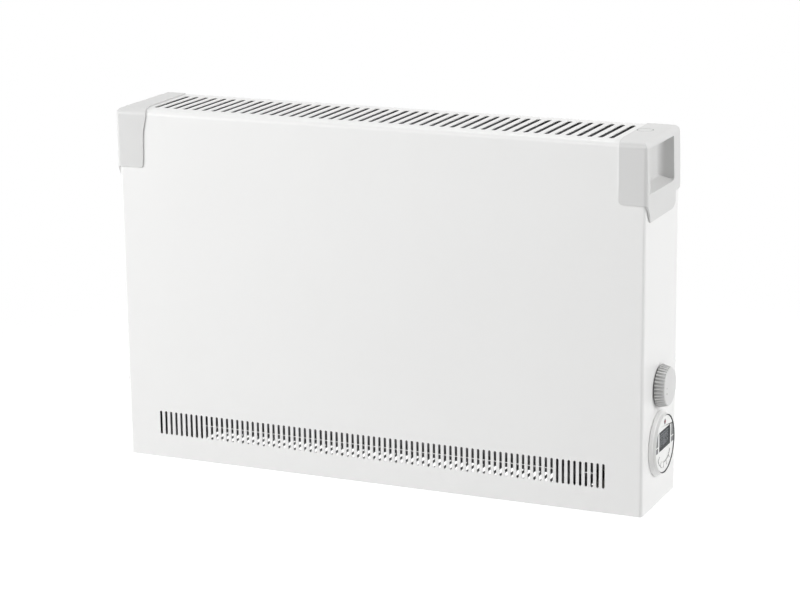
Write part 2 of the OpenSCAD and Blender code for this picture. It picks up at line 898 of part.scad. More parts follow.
// Outline of the knob: radius across, height away from the panel
function knob_outline() =
  let (top_r = knob_r - knob_draft)
  let (face = knob_h - 0.9)
  concat(
    [[0, knob_h], [top_r * 0.35, knob_h - 0.12], [top_r * 0.7, knob_h - 0.5]],
    corner_arc([0, knob_h - 0.2], [top_r, face], [knob_r, knob_base], knob_edge),
    [[knob_r, knob_base], [knob_r - 3, knob_base], [knob_r - knob_draft - 1.6, knob_h - 4],
      [7, knob_h - 3.4], [6.6, hub_low], [0, hub_low]]
  );

module thermostat_knob() {
  tilt = atan(knob_draft / (knob_h - knob_base - 0.9));
  color("whitesmoke") on_knob_axis() difference() {
    rotate([0, 90, 0]) rotate_extrude($fn = 96) polygon(knob_outline());
    translate([hub_low - past, 0, 0]) rotate([0, 90, 0])
      linear_extrude(shaft_end - hub_low + past + 0.2) shaft_section(shaft_gap);
    for (i = [0:knob_grooves - 1])
      rotate([i * 360 / knob_grooves, 0, 0])
        translate([knob_base, 0, knob_r + groove_r - groove_depth]) rotate([0, tilt, 0])
          x_rod(-2, flank_h + 2, groove_r);
  }
}

// Timer

timer_hole_r = 33;
sleeve_r = 32.6;
sleeve_t = 1.1;
sleeve_in = sleeve_r - sleeve_t;
bezel_r = bezel_d / 2;
mouth_r = bezel_mouth_d / 2;
face_r = mouth_r - face_gap;
ledge_h = bezel_h - 3.2;
ledge_r = mouth_r - 1.5;
groove_low = 1.5;
face_low = ledge_h + seat;
face_top = bezel_h - 1;
board_low = 0.9;
board_t = 1.6;
board_top = board_low + board_t;
housing_back = -24;
switch_h = 1.6;
switch_top = board_top + 0.2 + switch_h;
button_low = switch_top + button_travel + 0.1;
button_top = face_top + 0.6;
button_gap = 0.35;
led_rise = 27;
led_r = 1.6;
inlay_t = 0.6;
inlay_in = window_w / 2 + 3.9;
inlay_r = face_r - 0.9;
inlay_break = 1.4;
inlay_break_rise = 2;
led_ring_r = led_r + 1.7;
// Number of push buttons in the curved row, one node each
button_count = 5;

module on_timer_axis() {
  hung() translate([half_w, y_axis, timer_z]) children();
}

// A flat outline on the timer's face, from height h0 to h1 above the panel
module on_face(h0, h1) {
  on_timer_axis() translate([h0, 0, 0]) rotate([90, 0, 90]) linear_extrude(h1 - h0) children();
}

module timer_bezel() {
  step_h = 4.3;
  color("whitesmoke") hung() turned_on_side(timer_z) polygon([
    [bezel_r, seat], [bezel_r, 0.9], [bezel_r - 0.3, 1.3],
    [mouth_r + 2.5, step_h], [mouth_r + 1.8, step_h + 0.3],
    [mouth_r + 0.9, bezel_h - 0.5], [mouth_r + 0.6, bezel_h - 0.1], [mouth_r + 0.25, bezel_h],
    [mouth_r, bezel_h - 0.2], [mouth_r, groove_low], [ledge_r, groove_low],
    [ledge_r, ledge_h], [sleeve_in, ledge_h], [sleeve_in, -8], [sleeve_r, -8], [sleeve_r, seat]
  ]);
}

module timer_housing() {
  cup_r = sleeve_in - 0.2;
  wall = 1.6;
  rim = board_low - 0.2;
  color("dimgray") {
    hung() turned_on_side(timer_z) polygon([
      [0, housing_back], [cup_r - wall, housing_back], [cup_r, housing_back + wall], [cup_r, rim],
      [cup_r - wall, rim], [cup_r - wall, housing_back + wall], [0, housing_back + wall]
    ]);
    on_timer_axis() for (y = [-15, -5, 5, 15])
      block([housing_back - blade_l, y - blade_t / 2, -blade_w / 2],
        [housing_back + wall / 2, y + blade_t / 2, blade_w / 2]);
  }
}

module window_shape(gap) {
  w = window_w / 2 + gap;
  h = window_h / 2 + gap;
  translate([-w, window_rise - h]) square([2 * w, 2 * h]);
}

module inlay_shapes(gap) {
  low = window_rise - window_h / 2 - gap;
  high = window_rise + window_h / 2 + gap;
  cut = inlay_break / 2 - gap;
  difference() {
    intersection() {
      circle(inlay_r + gap, $fn = 96);
      union() {
        for (side = [0, 1]) mirror([side, 0])
          translate([inlay_in - gap, low]) square([inlay_r, high - low]);
      }
    }
    translate([-face_r, inlay_break_rise - cut]) square([2 * face_r, 2 * cut]);
  }
  translate([0, led_rise]) circle(led_ring_r + gap);
}

// Sector of the button row that button number i fills, grown by gap, with a lip at its inner and outer edges
module button_shape(i, gap, lip = 0) {
  step = button_arc / button_count;
  mid = -90 + (i - (button_count + 1) / 2) * step;
  half = step / 2 - 1.6;
  reach = 2 * button_r_out;
  offset_gap = gap / sin(half);
  intersection() {
    difference() {
      circle(button_r_out + gap + lip, $fn = 96);
      circle(button_r_in - gap - lip, $fn = 96);
    }
    rotate(mid) translate([-offset_gap, 0])
      polygon([[0, 0], [reach, -reach * tan(half)], [reach, reach * tan(half)]]);
  }
}

module timer_face() {
  color("whitesmoke") difference() {
    hung() turned_on_side(timer_z) polygon([
      [0, face_low], [face_r, face_low], [face_r, face_top - 0.4], [face_r - 0.4, face_top], [0, face_top]
    ]);
    on_face(face_low - past, face_top + past) {
      window_shape(0.2);
      translate([0, led_rise]) circle(led_r + 0.15);
      for (i = [1:button_count]) button_shape(i, button_gap);
    }
    on_face(face_top - inlay_t - 0.1, face_top + past) inlay_shapes(0.1);
  }
}

module timer_window() {
  color("darkslategray") on_face(face_low + 0.1, face_top - 0.1) window_shape(0);
}

module timer_display() {
  color("darkgray") on_face(board_top + 0.2, face_low - 0.1)
    translate([1 - window_w / 2, window_rise + 1 - window_h / 2]) square([window_w - 2, window_h - 2]);
}

module timer_side_panels() {
  color("dimgray") on_face(face_top - inlay_t, face_top) difference() {
    inlay_shapes(0);
    translate([0, led_rise]) circle(led_r + 0.15);
  }
}

module timer_led() {
  color("red") on_face(board_top + 0.2, face_top + 0.2) translate([0, led_rise]) circle(led_r);
}

module timer_board() {
  color("darkgreen") on_face(board_low, board_top) circle(sleeve_in - 0.3);
}

module at_button(i) {
  mid = -90 + (i - (button_count + 1) / 2) * button_arc / button_count;
  rotate(mid) translate([(button_r_in + button_r_out) / 2, 0]) children();
}

module timer_switches() {
  color("darkslategray") on_face(board_top + 0.2, switch_top)
    for (i = [1:button_count]) at_button(i) square(4.5, center = true);
}

module timer_button(i) {
  color("whitesmoke") {
    on_face(face_low - 0.3, button_top) button_shape(i, 0);
    on_face(button_low, face_low - 0.2) button_shape(i, 0, 1);
    on_face(button_low, face_low - 0.2) at_button(i) circle(2.4);
  }
}

module timer_button_1() {
  timer_button(1);
}

module timer_button_2() {
  timer_button(2);
}

module timer_button_3() {
  timer_button(3);
}

module timer_button_4() {
  timer_button(4);
}

module timer_button_5() {
  timer_button(5);
}

front_cover();
back_panel();
base_plate();
right_end_cap();
left_end_cap();
casing_screws();
cap_screws();
wall_bracket();
wall_buffers();
control_partition();
heat_baffle();
front_element();
rear_element();
element_bracket();
ceramic_bushes();
thermal_cutout();
terminal_block();
cable_gland();
gland_nut();
earth_screw();
thermostat_body();
thermostat_nut();
thermostat_shaft();
thermostat_knob();
timer_bezel();
timer_housing();
timer_face();
timer_window();
timer_display();
timer_side_panels();
timer_led();
timer_board();
timer_switches();
timer_button_1();
timer_button_2();
timer_button_3();
timer_button_4();
timer_button_5();
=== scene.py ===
"""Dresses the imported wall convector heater: finishes, rounded edges, printed marks, light and camera."""

import json
import logging
import math
from collections.abc import Callable, Iterable
from dataclasses import dataclass, field
from enum import Enum
from functools import cache

import bmesh
import bpy
from mathutils import Matrix, Vector

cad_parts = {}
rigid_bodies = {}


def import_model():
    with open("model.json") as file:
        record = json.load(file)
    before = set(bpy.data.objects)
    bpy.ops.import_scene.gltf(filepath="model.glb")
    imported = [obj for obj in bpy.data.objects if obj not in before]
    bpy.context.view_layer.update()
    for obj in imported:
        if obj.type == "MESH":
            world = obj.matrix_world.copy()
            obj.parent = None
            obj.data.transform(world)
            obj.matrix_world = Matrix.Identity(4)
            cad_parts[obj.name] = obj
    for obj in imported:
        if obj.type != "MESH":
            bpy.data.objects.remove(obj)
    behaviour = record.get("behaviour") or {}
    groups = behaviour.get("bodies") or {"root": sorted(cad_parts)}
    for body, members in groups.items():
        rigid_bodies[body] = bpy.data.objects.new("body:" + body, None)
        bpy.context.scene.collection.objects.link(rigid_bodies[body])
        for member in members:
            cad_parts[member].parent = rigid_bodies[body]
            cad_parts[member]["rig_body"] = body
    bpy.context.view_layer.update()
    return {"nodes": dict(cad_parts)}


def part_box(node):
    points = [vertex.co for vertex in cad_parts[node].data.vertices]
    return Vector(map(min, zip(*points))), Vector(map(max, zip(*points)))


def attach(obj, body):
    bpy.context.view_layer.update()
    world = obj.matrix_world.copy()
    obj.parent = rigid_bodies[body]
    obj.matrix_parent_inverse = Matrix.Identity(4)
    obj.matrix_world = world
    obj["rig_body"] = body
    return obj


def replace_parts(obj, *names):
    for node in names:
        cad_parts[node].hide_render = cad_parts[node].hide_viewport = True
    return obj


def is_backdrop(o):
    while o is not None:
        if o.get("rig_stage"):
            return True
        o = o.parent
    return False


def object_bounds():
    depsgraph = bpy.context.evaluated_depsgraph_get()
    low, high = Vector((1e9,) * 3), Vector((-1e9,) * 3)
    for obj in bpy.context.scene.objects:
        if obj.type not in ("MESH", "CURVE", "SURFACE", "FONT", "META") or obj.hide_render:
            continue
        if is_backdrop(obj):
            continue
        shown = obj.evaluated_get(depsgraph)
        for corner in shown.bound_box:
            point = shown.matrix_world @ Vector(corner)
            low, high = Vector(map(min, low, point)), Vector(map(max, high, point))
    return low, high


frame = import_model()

log = logging.getLogger("heater")

MM = 0.001
EDGE_LAYER = "edge"
HOLLOW_LAYER = "hollow"

WHITE = (1.0, 1.0, 1.0)
DRIFT_SWING = 2.0
SWELL_SPAN = 9.0
RUB_PEAK = 1.6
# How much the painted shade in hollows, with a little grime, varies from place to place.
SHADE_AND_GRIME_SWING = (0.7, 1.3)
DUST_SLOPE = 0.5
CRYSTAL_WARP = (4 * MM, 4 * MM, 4 * MM)
CRYSTAL_WARP_SCALE = 150.0

Colour = tuple[float, float, float]
FaceTest = Callable[[Vector, Vector], bool]


class Board:
    """A shader node tree that is being filled."""

    def __init__(self, tree: bpy.types.NodeTree) -> None:
        """Keeps the tree.

        Args:
            tree: The node tree of a material, a world or a node group.
        """
        self.tree = tree

    def add(self, kind: str, options: dict | None = None, **values) -> bpy.types.Node:
        """Adds a node.

        Args:
            kind: The node's type name without its ShaderNode prefix.
            options: Settings of the node itself.
            values: Socket values or links by socket name, with _ for a space.

        Returns:
            The new node.
        """
        node = self.tree.nodes.new("ShaderNode" + kind)
        for option, value in (options or {}).items():
            setattr(node, option, value)
        for name, value in values.items():
            self.feed(node.inputs[name.replace("_", " ")], value)
        return node

    def feed(self, socket: bpy.types.NodeSocket, value: object) -> None:
        """Links a socket to another one, or sets its value.

        Args:
            socket: The input socket.
            value: An output socket, a number, a vector or a colour.
        """
        if isinstance(value, bpy.types.NodeSocket):
            self.tree.links.new(value, socket)
        elif isinstance(value, tuple) and len(value) == 3 and socket.type == "RGBA":
            socket.default_value = (*value, 1.0)
        else:
            socket.default_value = value

    def math(self, operation: str, first: object, second: object = 0.0) -> bpy.types.NodeSocket:
        """Adds a Math node.

        Args:
            operation: The node's operation.
            first: The first value or socket.
            second: The second value or socket.

        Returns:
            The result's socket.
        """
        node = self.add("Math", {"operation": operation})
        self.feed(node.inputs[0], first)
        self.feed(node.inputs[1], second)
        return node.outputs[0]

    def spread(self, value: object, low: float, high: float) -> bpy.types.NodeSocket:
        """Maps a value between 0 and 1 to the range from low to high."""
        return self.add("MapRange", None, Value=value, To_Min=low, To_Max=high).outputs["Result"]

    def mix(self, share: object, first: object, second: object) -> bpy.types.NodeSocket:
        """Mixes two colours.

        Args:
            share: How much of the second colour there is, from 0 to 1.
            first: The colour at a share of 0.
            second: The colour at a share of 1.

        Returns:
            The mixed colour's socket.
        """
        node = self.add("Mix", {"data_type": "RGBA"})
        self.feed(node.inputs["Factor"], share)
        # A Mix node keeps its colours in inputs 6 and 7 and in output 2.
        self.feed(node.inputs[6], first)
        self.feed(node.inputs[7], second)
        return node.outputs[2]

    def group(self, effect: "Effect", **values) -> bpy.types.Node:
        """Places one of the shared effects, with its own values."""
        return self.add("Group", {"node_tree": effect.tree()}, **values)


class Effect(Enum):
    """The effects that several finishes share, each a node group that is built once."""

    TONE = "tone_drift"
    GRAIN = "moulded_grain"
    RUB = "rubbed_edges"
    # Painted shade in hollows, with a little grime.
    SHADE_AND_GRIME = "painted_shade_and_grime_in_hollows"
    DUST = "settled_dust"
    SPANGLE = "zinc_spangle"

    def tree(self) -> bpy.types.NodeTree:
        """Returns the effect's node group, which is built at its first use."""
        found = bpy.data.node_groups.get(self.value)
        return found or EFFECT_BUILDERS[self](self.value)


def new_group(name: str, takes: dict[str, str], gives: dict[str, str]) -> tuple[Board, dict, dict]:
    """Starts a shader node group.

    Args:
        name: The group's name.
        takes: The kinds of its inputs by name.
        gives: The kinds of its outputs by name.

    Returns:
        The board to fill, the sockets of the inputs and those of the outputs.
    """
    tree = bpy.data.node_groups.new(name, "ShaderNodeTree")
    for way, sockets in (("INPUT", takes), ("OUTPUT", gives)):
        for label, kind in sockets.items():
            tree.interface.new_socket(label, in_out=way, socket_type="NodeSocket" + kind)
    start = tree.nodes.new("NodeGroupInput")
    end = tree.nodes.new("NodeGroupOutput")
    return Board(tree), {n: start.outputs[n] for n in takes}, {n: end.inputs[n] for n in gives}


def build_tone_drift(name: str) -> bpy.types.NodeTree:
    """Builds a colour that drifts lighter and darker in soft clouds.

    Args:
        name: The group's name.

    Returns:
        The new node group.
    """
    takes = {"Vector": "Vector", "Colour": "Color", "Drift": "Float", "Cell": "Float"}
    board, given, out = new_group(name, takes, {"Colour": "Color", "Mask": "Float"})
    scale = board.math("DIVIDE", 1.0, given["Cell"])
    cloud = board.add("TexNoise", None, Vector=given["Vector"], Scale=scale, Detail=3.0).outputs["Fac"]
    offset = board.math("MULTIPLY", board.spread(cloud, -DRIFT_SWING, DRIFT_SWING), given["Drift"])
    gain = board.math("ADD", 1.0, offset)
    scaled = board.add("VectorMath", {"operation": "SCALE"}, Scale=gain)
    board.feed(scaled.inputs[0], given["Colour"])
    board.feed(out["Colour"], scaled.outputs["Vector"])
    board.feed(out["Mask"], cloud)
    return board.tree


def build_moulded_grain(name: str) -> bpy.types.NodeTree:
    """Builds the height of a fine grain that lies on a coarser, softer swell.

    Args:
        name: The group's name.

    Returns:
        The new node group.
    """
    takes = {"Vector": "Vector", "Cell": "Float", "Swell": "Float"}
    board, given, out = new_group(name, takes, {"Height": "Float"})
    scale = board.math("DIVIDE", 1.0, given["Cell"])
    fine = board.add("TexNoise", None, Vector=given["Vector"], Scale=scale, Detail=2.0).outputs["Fac"]
    slow = board.math("DIVIDE", scale, SWELL_SPAN)
    swell = board.add("TexNoise", None, Vector=given["Vector"], Scale=slow, Detail=1.0).outputs["Fac"]
    raised = board.math("MULTIPLY", swell, given["Swell"])
    board.feed(out["Height"], board.math("ADD", fine, raised))
    return board.tree


def build_rubbed_edges(name: str) -> bpy.types.NodeTree:
    """Builds a mask of the rounded edges, broken up by noise.

    Args:
        name: The group's name.

    Returns:
        The new node group.
    """
    takes = {"Vector": "Vector", "Amount": "Float", "Cell": "Float"}
    board, given, out = new_group(name, takes, {"Mask": "Float"})
    edge = board.add("Attribute", {"attribute_name": EDGE_LAYER}).outputs["Fac"]
    scale = board.math("DIVIDE", 1.0, given["Cell"])
    patch = board.add("TexNoise", None, Vector=given["Vector"], Scale=scale, Detail=4.0).outputs["Fac"]
    broken = board.math("MULTIPLY", edge, board.spread(patch, 0.0, RUB_PEAK))
    board.feed(out["Mask"], board.math("MULTIPLY", broken, given["Amount"]))
    return board.tree


def build_shade_and_grime(name: str) -> bpy.types.NodeTree:
    """Builds a mask of the grooves and corners that are darkened as painted shade, with a little grime.

    Args:
        name: The group's name.

    Returns:
        The new node group.
    """
    takes = {"Vector": "Vector", "Amount": "Float", "Cell": "Float"}
    board, given, out = new_group(name, takes, {"Mask": "Float"})
    hollow = board.add("Attribute", {"attribute_name": HOLLOW_LAYER}).outputs["Fac"]
    scale = board.math("DIVIDE", 1.0, given["Cell"])
    patch = board.add("TexNoise", None, Vector=given["Vector"], Scale=scale, Detail=3.0).outputs["Fac"]
    broken = board.math("MULTIPLY", hollow, board.spread(patch, *SHADE_AND_GRIME_SWING))
    board.feed(out["Mask"], board.math("MULTIPLY", broken, given["Amount"]))
    return board.tree


def build_settled_dust(name: str) -> bpy.types.NodeTree:
    """Builds a mask of the faces that look up, where dust settles.

    Args:
        name: The group's name.

    Returns:
        The new node group.
    """
    takes = {"Vector": "Vector", "Amount": "Float", "Cell": "Float"}
    board, given, out = new_group(name, takes, {"Mask": "Float"})
    normal = board.add("NewGeometry").outputs["True Normal"]
    up = board.add("SeparateXYZ", None, Vector=normal).outputs["Z"]
    slope = board.add("MapRange", None, Value=up, From_Min=DUST_SLOPE, From_Max=1.0).outputs["Result"]
    facing = board.math("MAXIMUM", slope, 0.0)
    scale = board.math("DIVIDE", 1.0, given["Cell"])
    cloud = board.add("TexNoise", None, Vector=given["Vector"], Scale=scale, Detail=5.0).outputs["Fac"]
    film = board.math("MULTIPLY", facing, cloud)
    board.feed(out["Mask"], board.math("MULTIPLY", film, given["Amount"]))
    return board.tree


def build_zinc_spangle(name: str) -> bpy.types.NodeTree:
    """Builds the crystal patches of hot-dip zinc.

    Args:
        name: The group's name.

    Returns:
        The new node group.
    """
    takes = {"Vector": "Vector", "Cell": "Float"}
    board, given, out = new_group(name, takes, {"Tone": "Float"})
    warp = board.add(
        "TexNoise", None, Vector=given["Vector"], Scale=CRYSTAL_WARP_SCALE, Detail=2.0
    ).outputs["Color"]
    bent = board.add("VectorMath", {"operation": "MULTIPLY_ADD"})
    board.feed(bent.inputs[0], warp)
    board.feed(bent.inputs[1], CRYSTAL_WARP)
    board.feed(bent.inputs[2], given["Vector"])
    scale = board.math("DIVIDE", 1.0, given["Cell"])
    patch = board.add("TexVoronoi", None, Vector=bent.outputs["Vector"], Scale=scale)
    tone = board.add("SeparateColor", None, Color=patch.outputs["Color"]).outputs["Red"]
    board.feed(out["Tone"], tone)
    return board.tree


EFFECT_BUILDERS: dict[Effect, Callable[[str], bpy.types.NodeTree]] = {
    Effect.TONE: build_tone_drift,
    Effect.GRAIN: build_moulded_grain,
    Effect.RUB: build_rubbed_edges,
    Effect.SHADE_AND_GRIME: build_shade_and_grime,
    Effect.DUST: build_settled_dust,
    Effect.SPANGLE: build_zinc_spangle,
}


@dataclass(frozen=True)
class Finish:
    """A painted, moulded or metal surface with grain, soft tone drift, rubbed edges and a little dust.

    Cells are sizes in metres of the pattern's patches, and depth is the height of the grain.
    Rub, dust and shade_and_grime are strengths, shade_and_grime being painted shade in hollows with a little
    grime, and dust_rough is how much rougher a dusty place is.
    """

    label: str
    slot: str
    colour: Colour
    roughness: float
    metallic: float = 0.0
    specular: float = 0.5
    cell: float = 0.6 * MM
    depth: float = 0.02 * MM
    swell: float = 1.0
    drift: float = 0.012
    drift_cell: float = 90 * MM
    rub: float = 0.25
    rub_colour: Colour = (0.9, 0.9, 0.9)
    rub_cell: float = 6 * MM
    dust: float = 0.05
    dust_colour: Colour = (0.62, 0.6, 0.57)
    dust_cell: float = 25 * MM
    dust_rough: float = 2.0
    shade_and_grime: float = 0.0
    shade_and_grime_colour: Colour = (0.16, 0.16, 0.16)
    shade_and_grime_cell: float = 5 * MM
    rough_swing: float = 0.06

    def material(self) -> bpy.types.Material:
        """Returns the finish's material, which is built at its first use."""
        return bpy.data.materials.get(self.label) or self.build(self.label)

    def build(self, name: str) -> bpy.types.Material:
        """Builds the material.

        Args:
            name: The material's name.

        Returns:
            The new material.
        """
        material = bpy.data.materials.new(name)
        material.use_nodes = True
        material.node_tree.nodes.clear()
        board = Board(material.node_tree)
        place = board.add("TexCoord").outputs["Object"]
        shader = board.add(
            "BsdfPrincipled", None, Metallic=self.metallic, Specular_IOR_Level=self.specular
        )
        self.paint(board, place, shader)
        end = board.add("OutputMaterial")
        board.feed(end.inputs["Surface"], shader.outputs["BSDF"])
        return material

    def paint(self, board: Board, place: bpy.types.NodeSocket, shader: bpy.types.Node) -> None:
        """Feeds the shader's colour, roughness and normal.

        Args:
            board: The board of the material.
            place: The object coordinates.
            shader: The material's shader.
        """
        tone = board.group(
            Effect.TONE, Vector=place, Colour=self.colour, Drift=self.drift, Cell=self.drift_cell
        )
        rub, dust, shade_and_grime = (
            board.group(effect, Vector=place, Amount=amount, Cell=cell).outputs["Mask"]
            for effect, amount, cell in (
                (Effect.RUB, self.rub, self.rub_cell),
                (Effect.DUST, self.dust, self.dust_cell),
                (Effect.SHADE_AND_GRIME, self.shade_and_grime, self.shade_and_grime_cell),
            )
        )
        # Darkens the hollows: painted shade, with a little grime.
        colour = board.mix(shade_and_grime, self.patch(board, place, tone.outputs["Colour"]), self.shade_and_grime_colour)
        worn = board.mix(rub, colour, self.rub_colour)
        board.feed(shader.inputs["Base Color"], board.mix(dust, worn, self.dust_colour))
        grain = board.group(Effect.GRAIN, Vector=place, Cell=self.cell, Swell=self.swell).outputs["Height"]
        low = self.roughness - self.rough_swing
        high = self.roughness + self.rough_swing
        rough = board.spread(tone.outputs["Mask"], low, high)
        dusty = board.math("MULTIPLY", dust, self.dust_rough)
        board.feed(shader.inputs["Roughness"], board.math("ADD", rough, dusty))
        bump = board.add("Bump", None, Strength=1.0, Distance=self.depth, Height=grain)
        board.feed(shader.inputs["Normal"], bump.outputs["Normal"])

    def patch(
        self, board: Board, place: bpy.types.NodeSocket, colour: bpy.types.NodeSocket
    ) -> bpy.types.NodeSocket:
        """Returns the colour with the finish's own pattern, which is none here."""
        return colour


@dataclass(frozen=True)
class Galvanised(Finish):
    """Zinc-coated sheet with crystal patches."""

    spangle: float = 7 * MM
    contrast: float = 0.11
    crystal_colour: Colour = (0.75, 0.77, 0.8)

    def patch(
        self, board: Board, place: bpy.types.NodeSocket, colour: bpy.types.NodeSocket
    ) -> bpy.types.NodeSocket:
        """Returns the colour lightened and darkened by the crystal patches.

        Args:
            board: The board of the material.
            place: The object coordinates.
            colour: The plain colour.

        Returns:
            The patterned colour's socket.
        """
        patch = board.group(Effect.SPANGLE, Vector=place, Cell=self.spangle).outputs["Tone"]
        share = board.spread(patch, 0.0, 2 * self.contrast)
        return board.mix(share, colour, self.crystal_colour)


@dataclass(frozen=True)
class HeatTinted(Finish):
    """Steel that the heat has turned straw, brown and blue."""

    band: float = 60 * MM
    straw: Colour = (0.26, 0.19, 0.12)
    blue: Colour = (0.17, 0.2, 0.27)
    tint: float = 0.55

    def patch(
        self, board: Board, place: bpy.types.NodeSocket, colour: bpy.types.NodeSocket
    ) -> bpy.types.NodeSocket:
        """Returns the colour tinted in bands along the element.

        Args:
            board: The board of the material.
            place: The object coordinates.
            colour: The plain colour.

        Returns:
            The tinted colour's socket.
        """
        wave = board.add(
            "TexNoise", None, Vector=place, Scale=1.0 / self.band, Detail=2.0
        ).outputs["Fac"]
        ramp = board.add("ValToRGB", None, Fac=wave)
        ramp.color_ramp.elements[0].color = (*self.straw, 1.0)
        ramp.color_ramp.elements[1].color = (*self.blue, 1.0)
        return board.mix(self.tint, colour, ramp.outputs["Color"])


@dataclass(frozen=True)
class ClearPlastic(Finish):
    """Tinted clear plastic, polished but for faint marks."""

    transmission: float = 1.0
    ior: float = 1.45

    def build(self, name: str) -> bpy.types.Material:
        """Builds the material.

        Args:
            name: The material's name.

        Returns:
            The new material.
        """
        material = super().build(name)
        shader = material.node_tree.nodes["Principled BSDF"]
        shader.inputs["Transmission Weight"].default_value = self.transmission
        shader.inputs["IOR"].default_value = self.ior
        return material


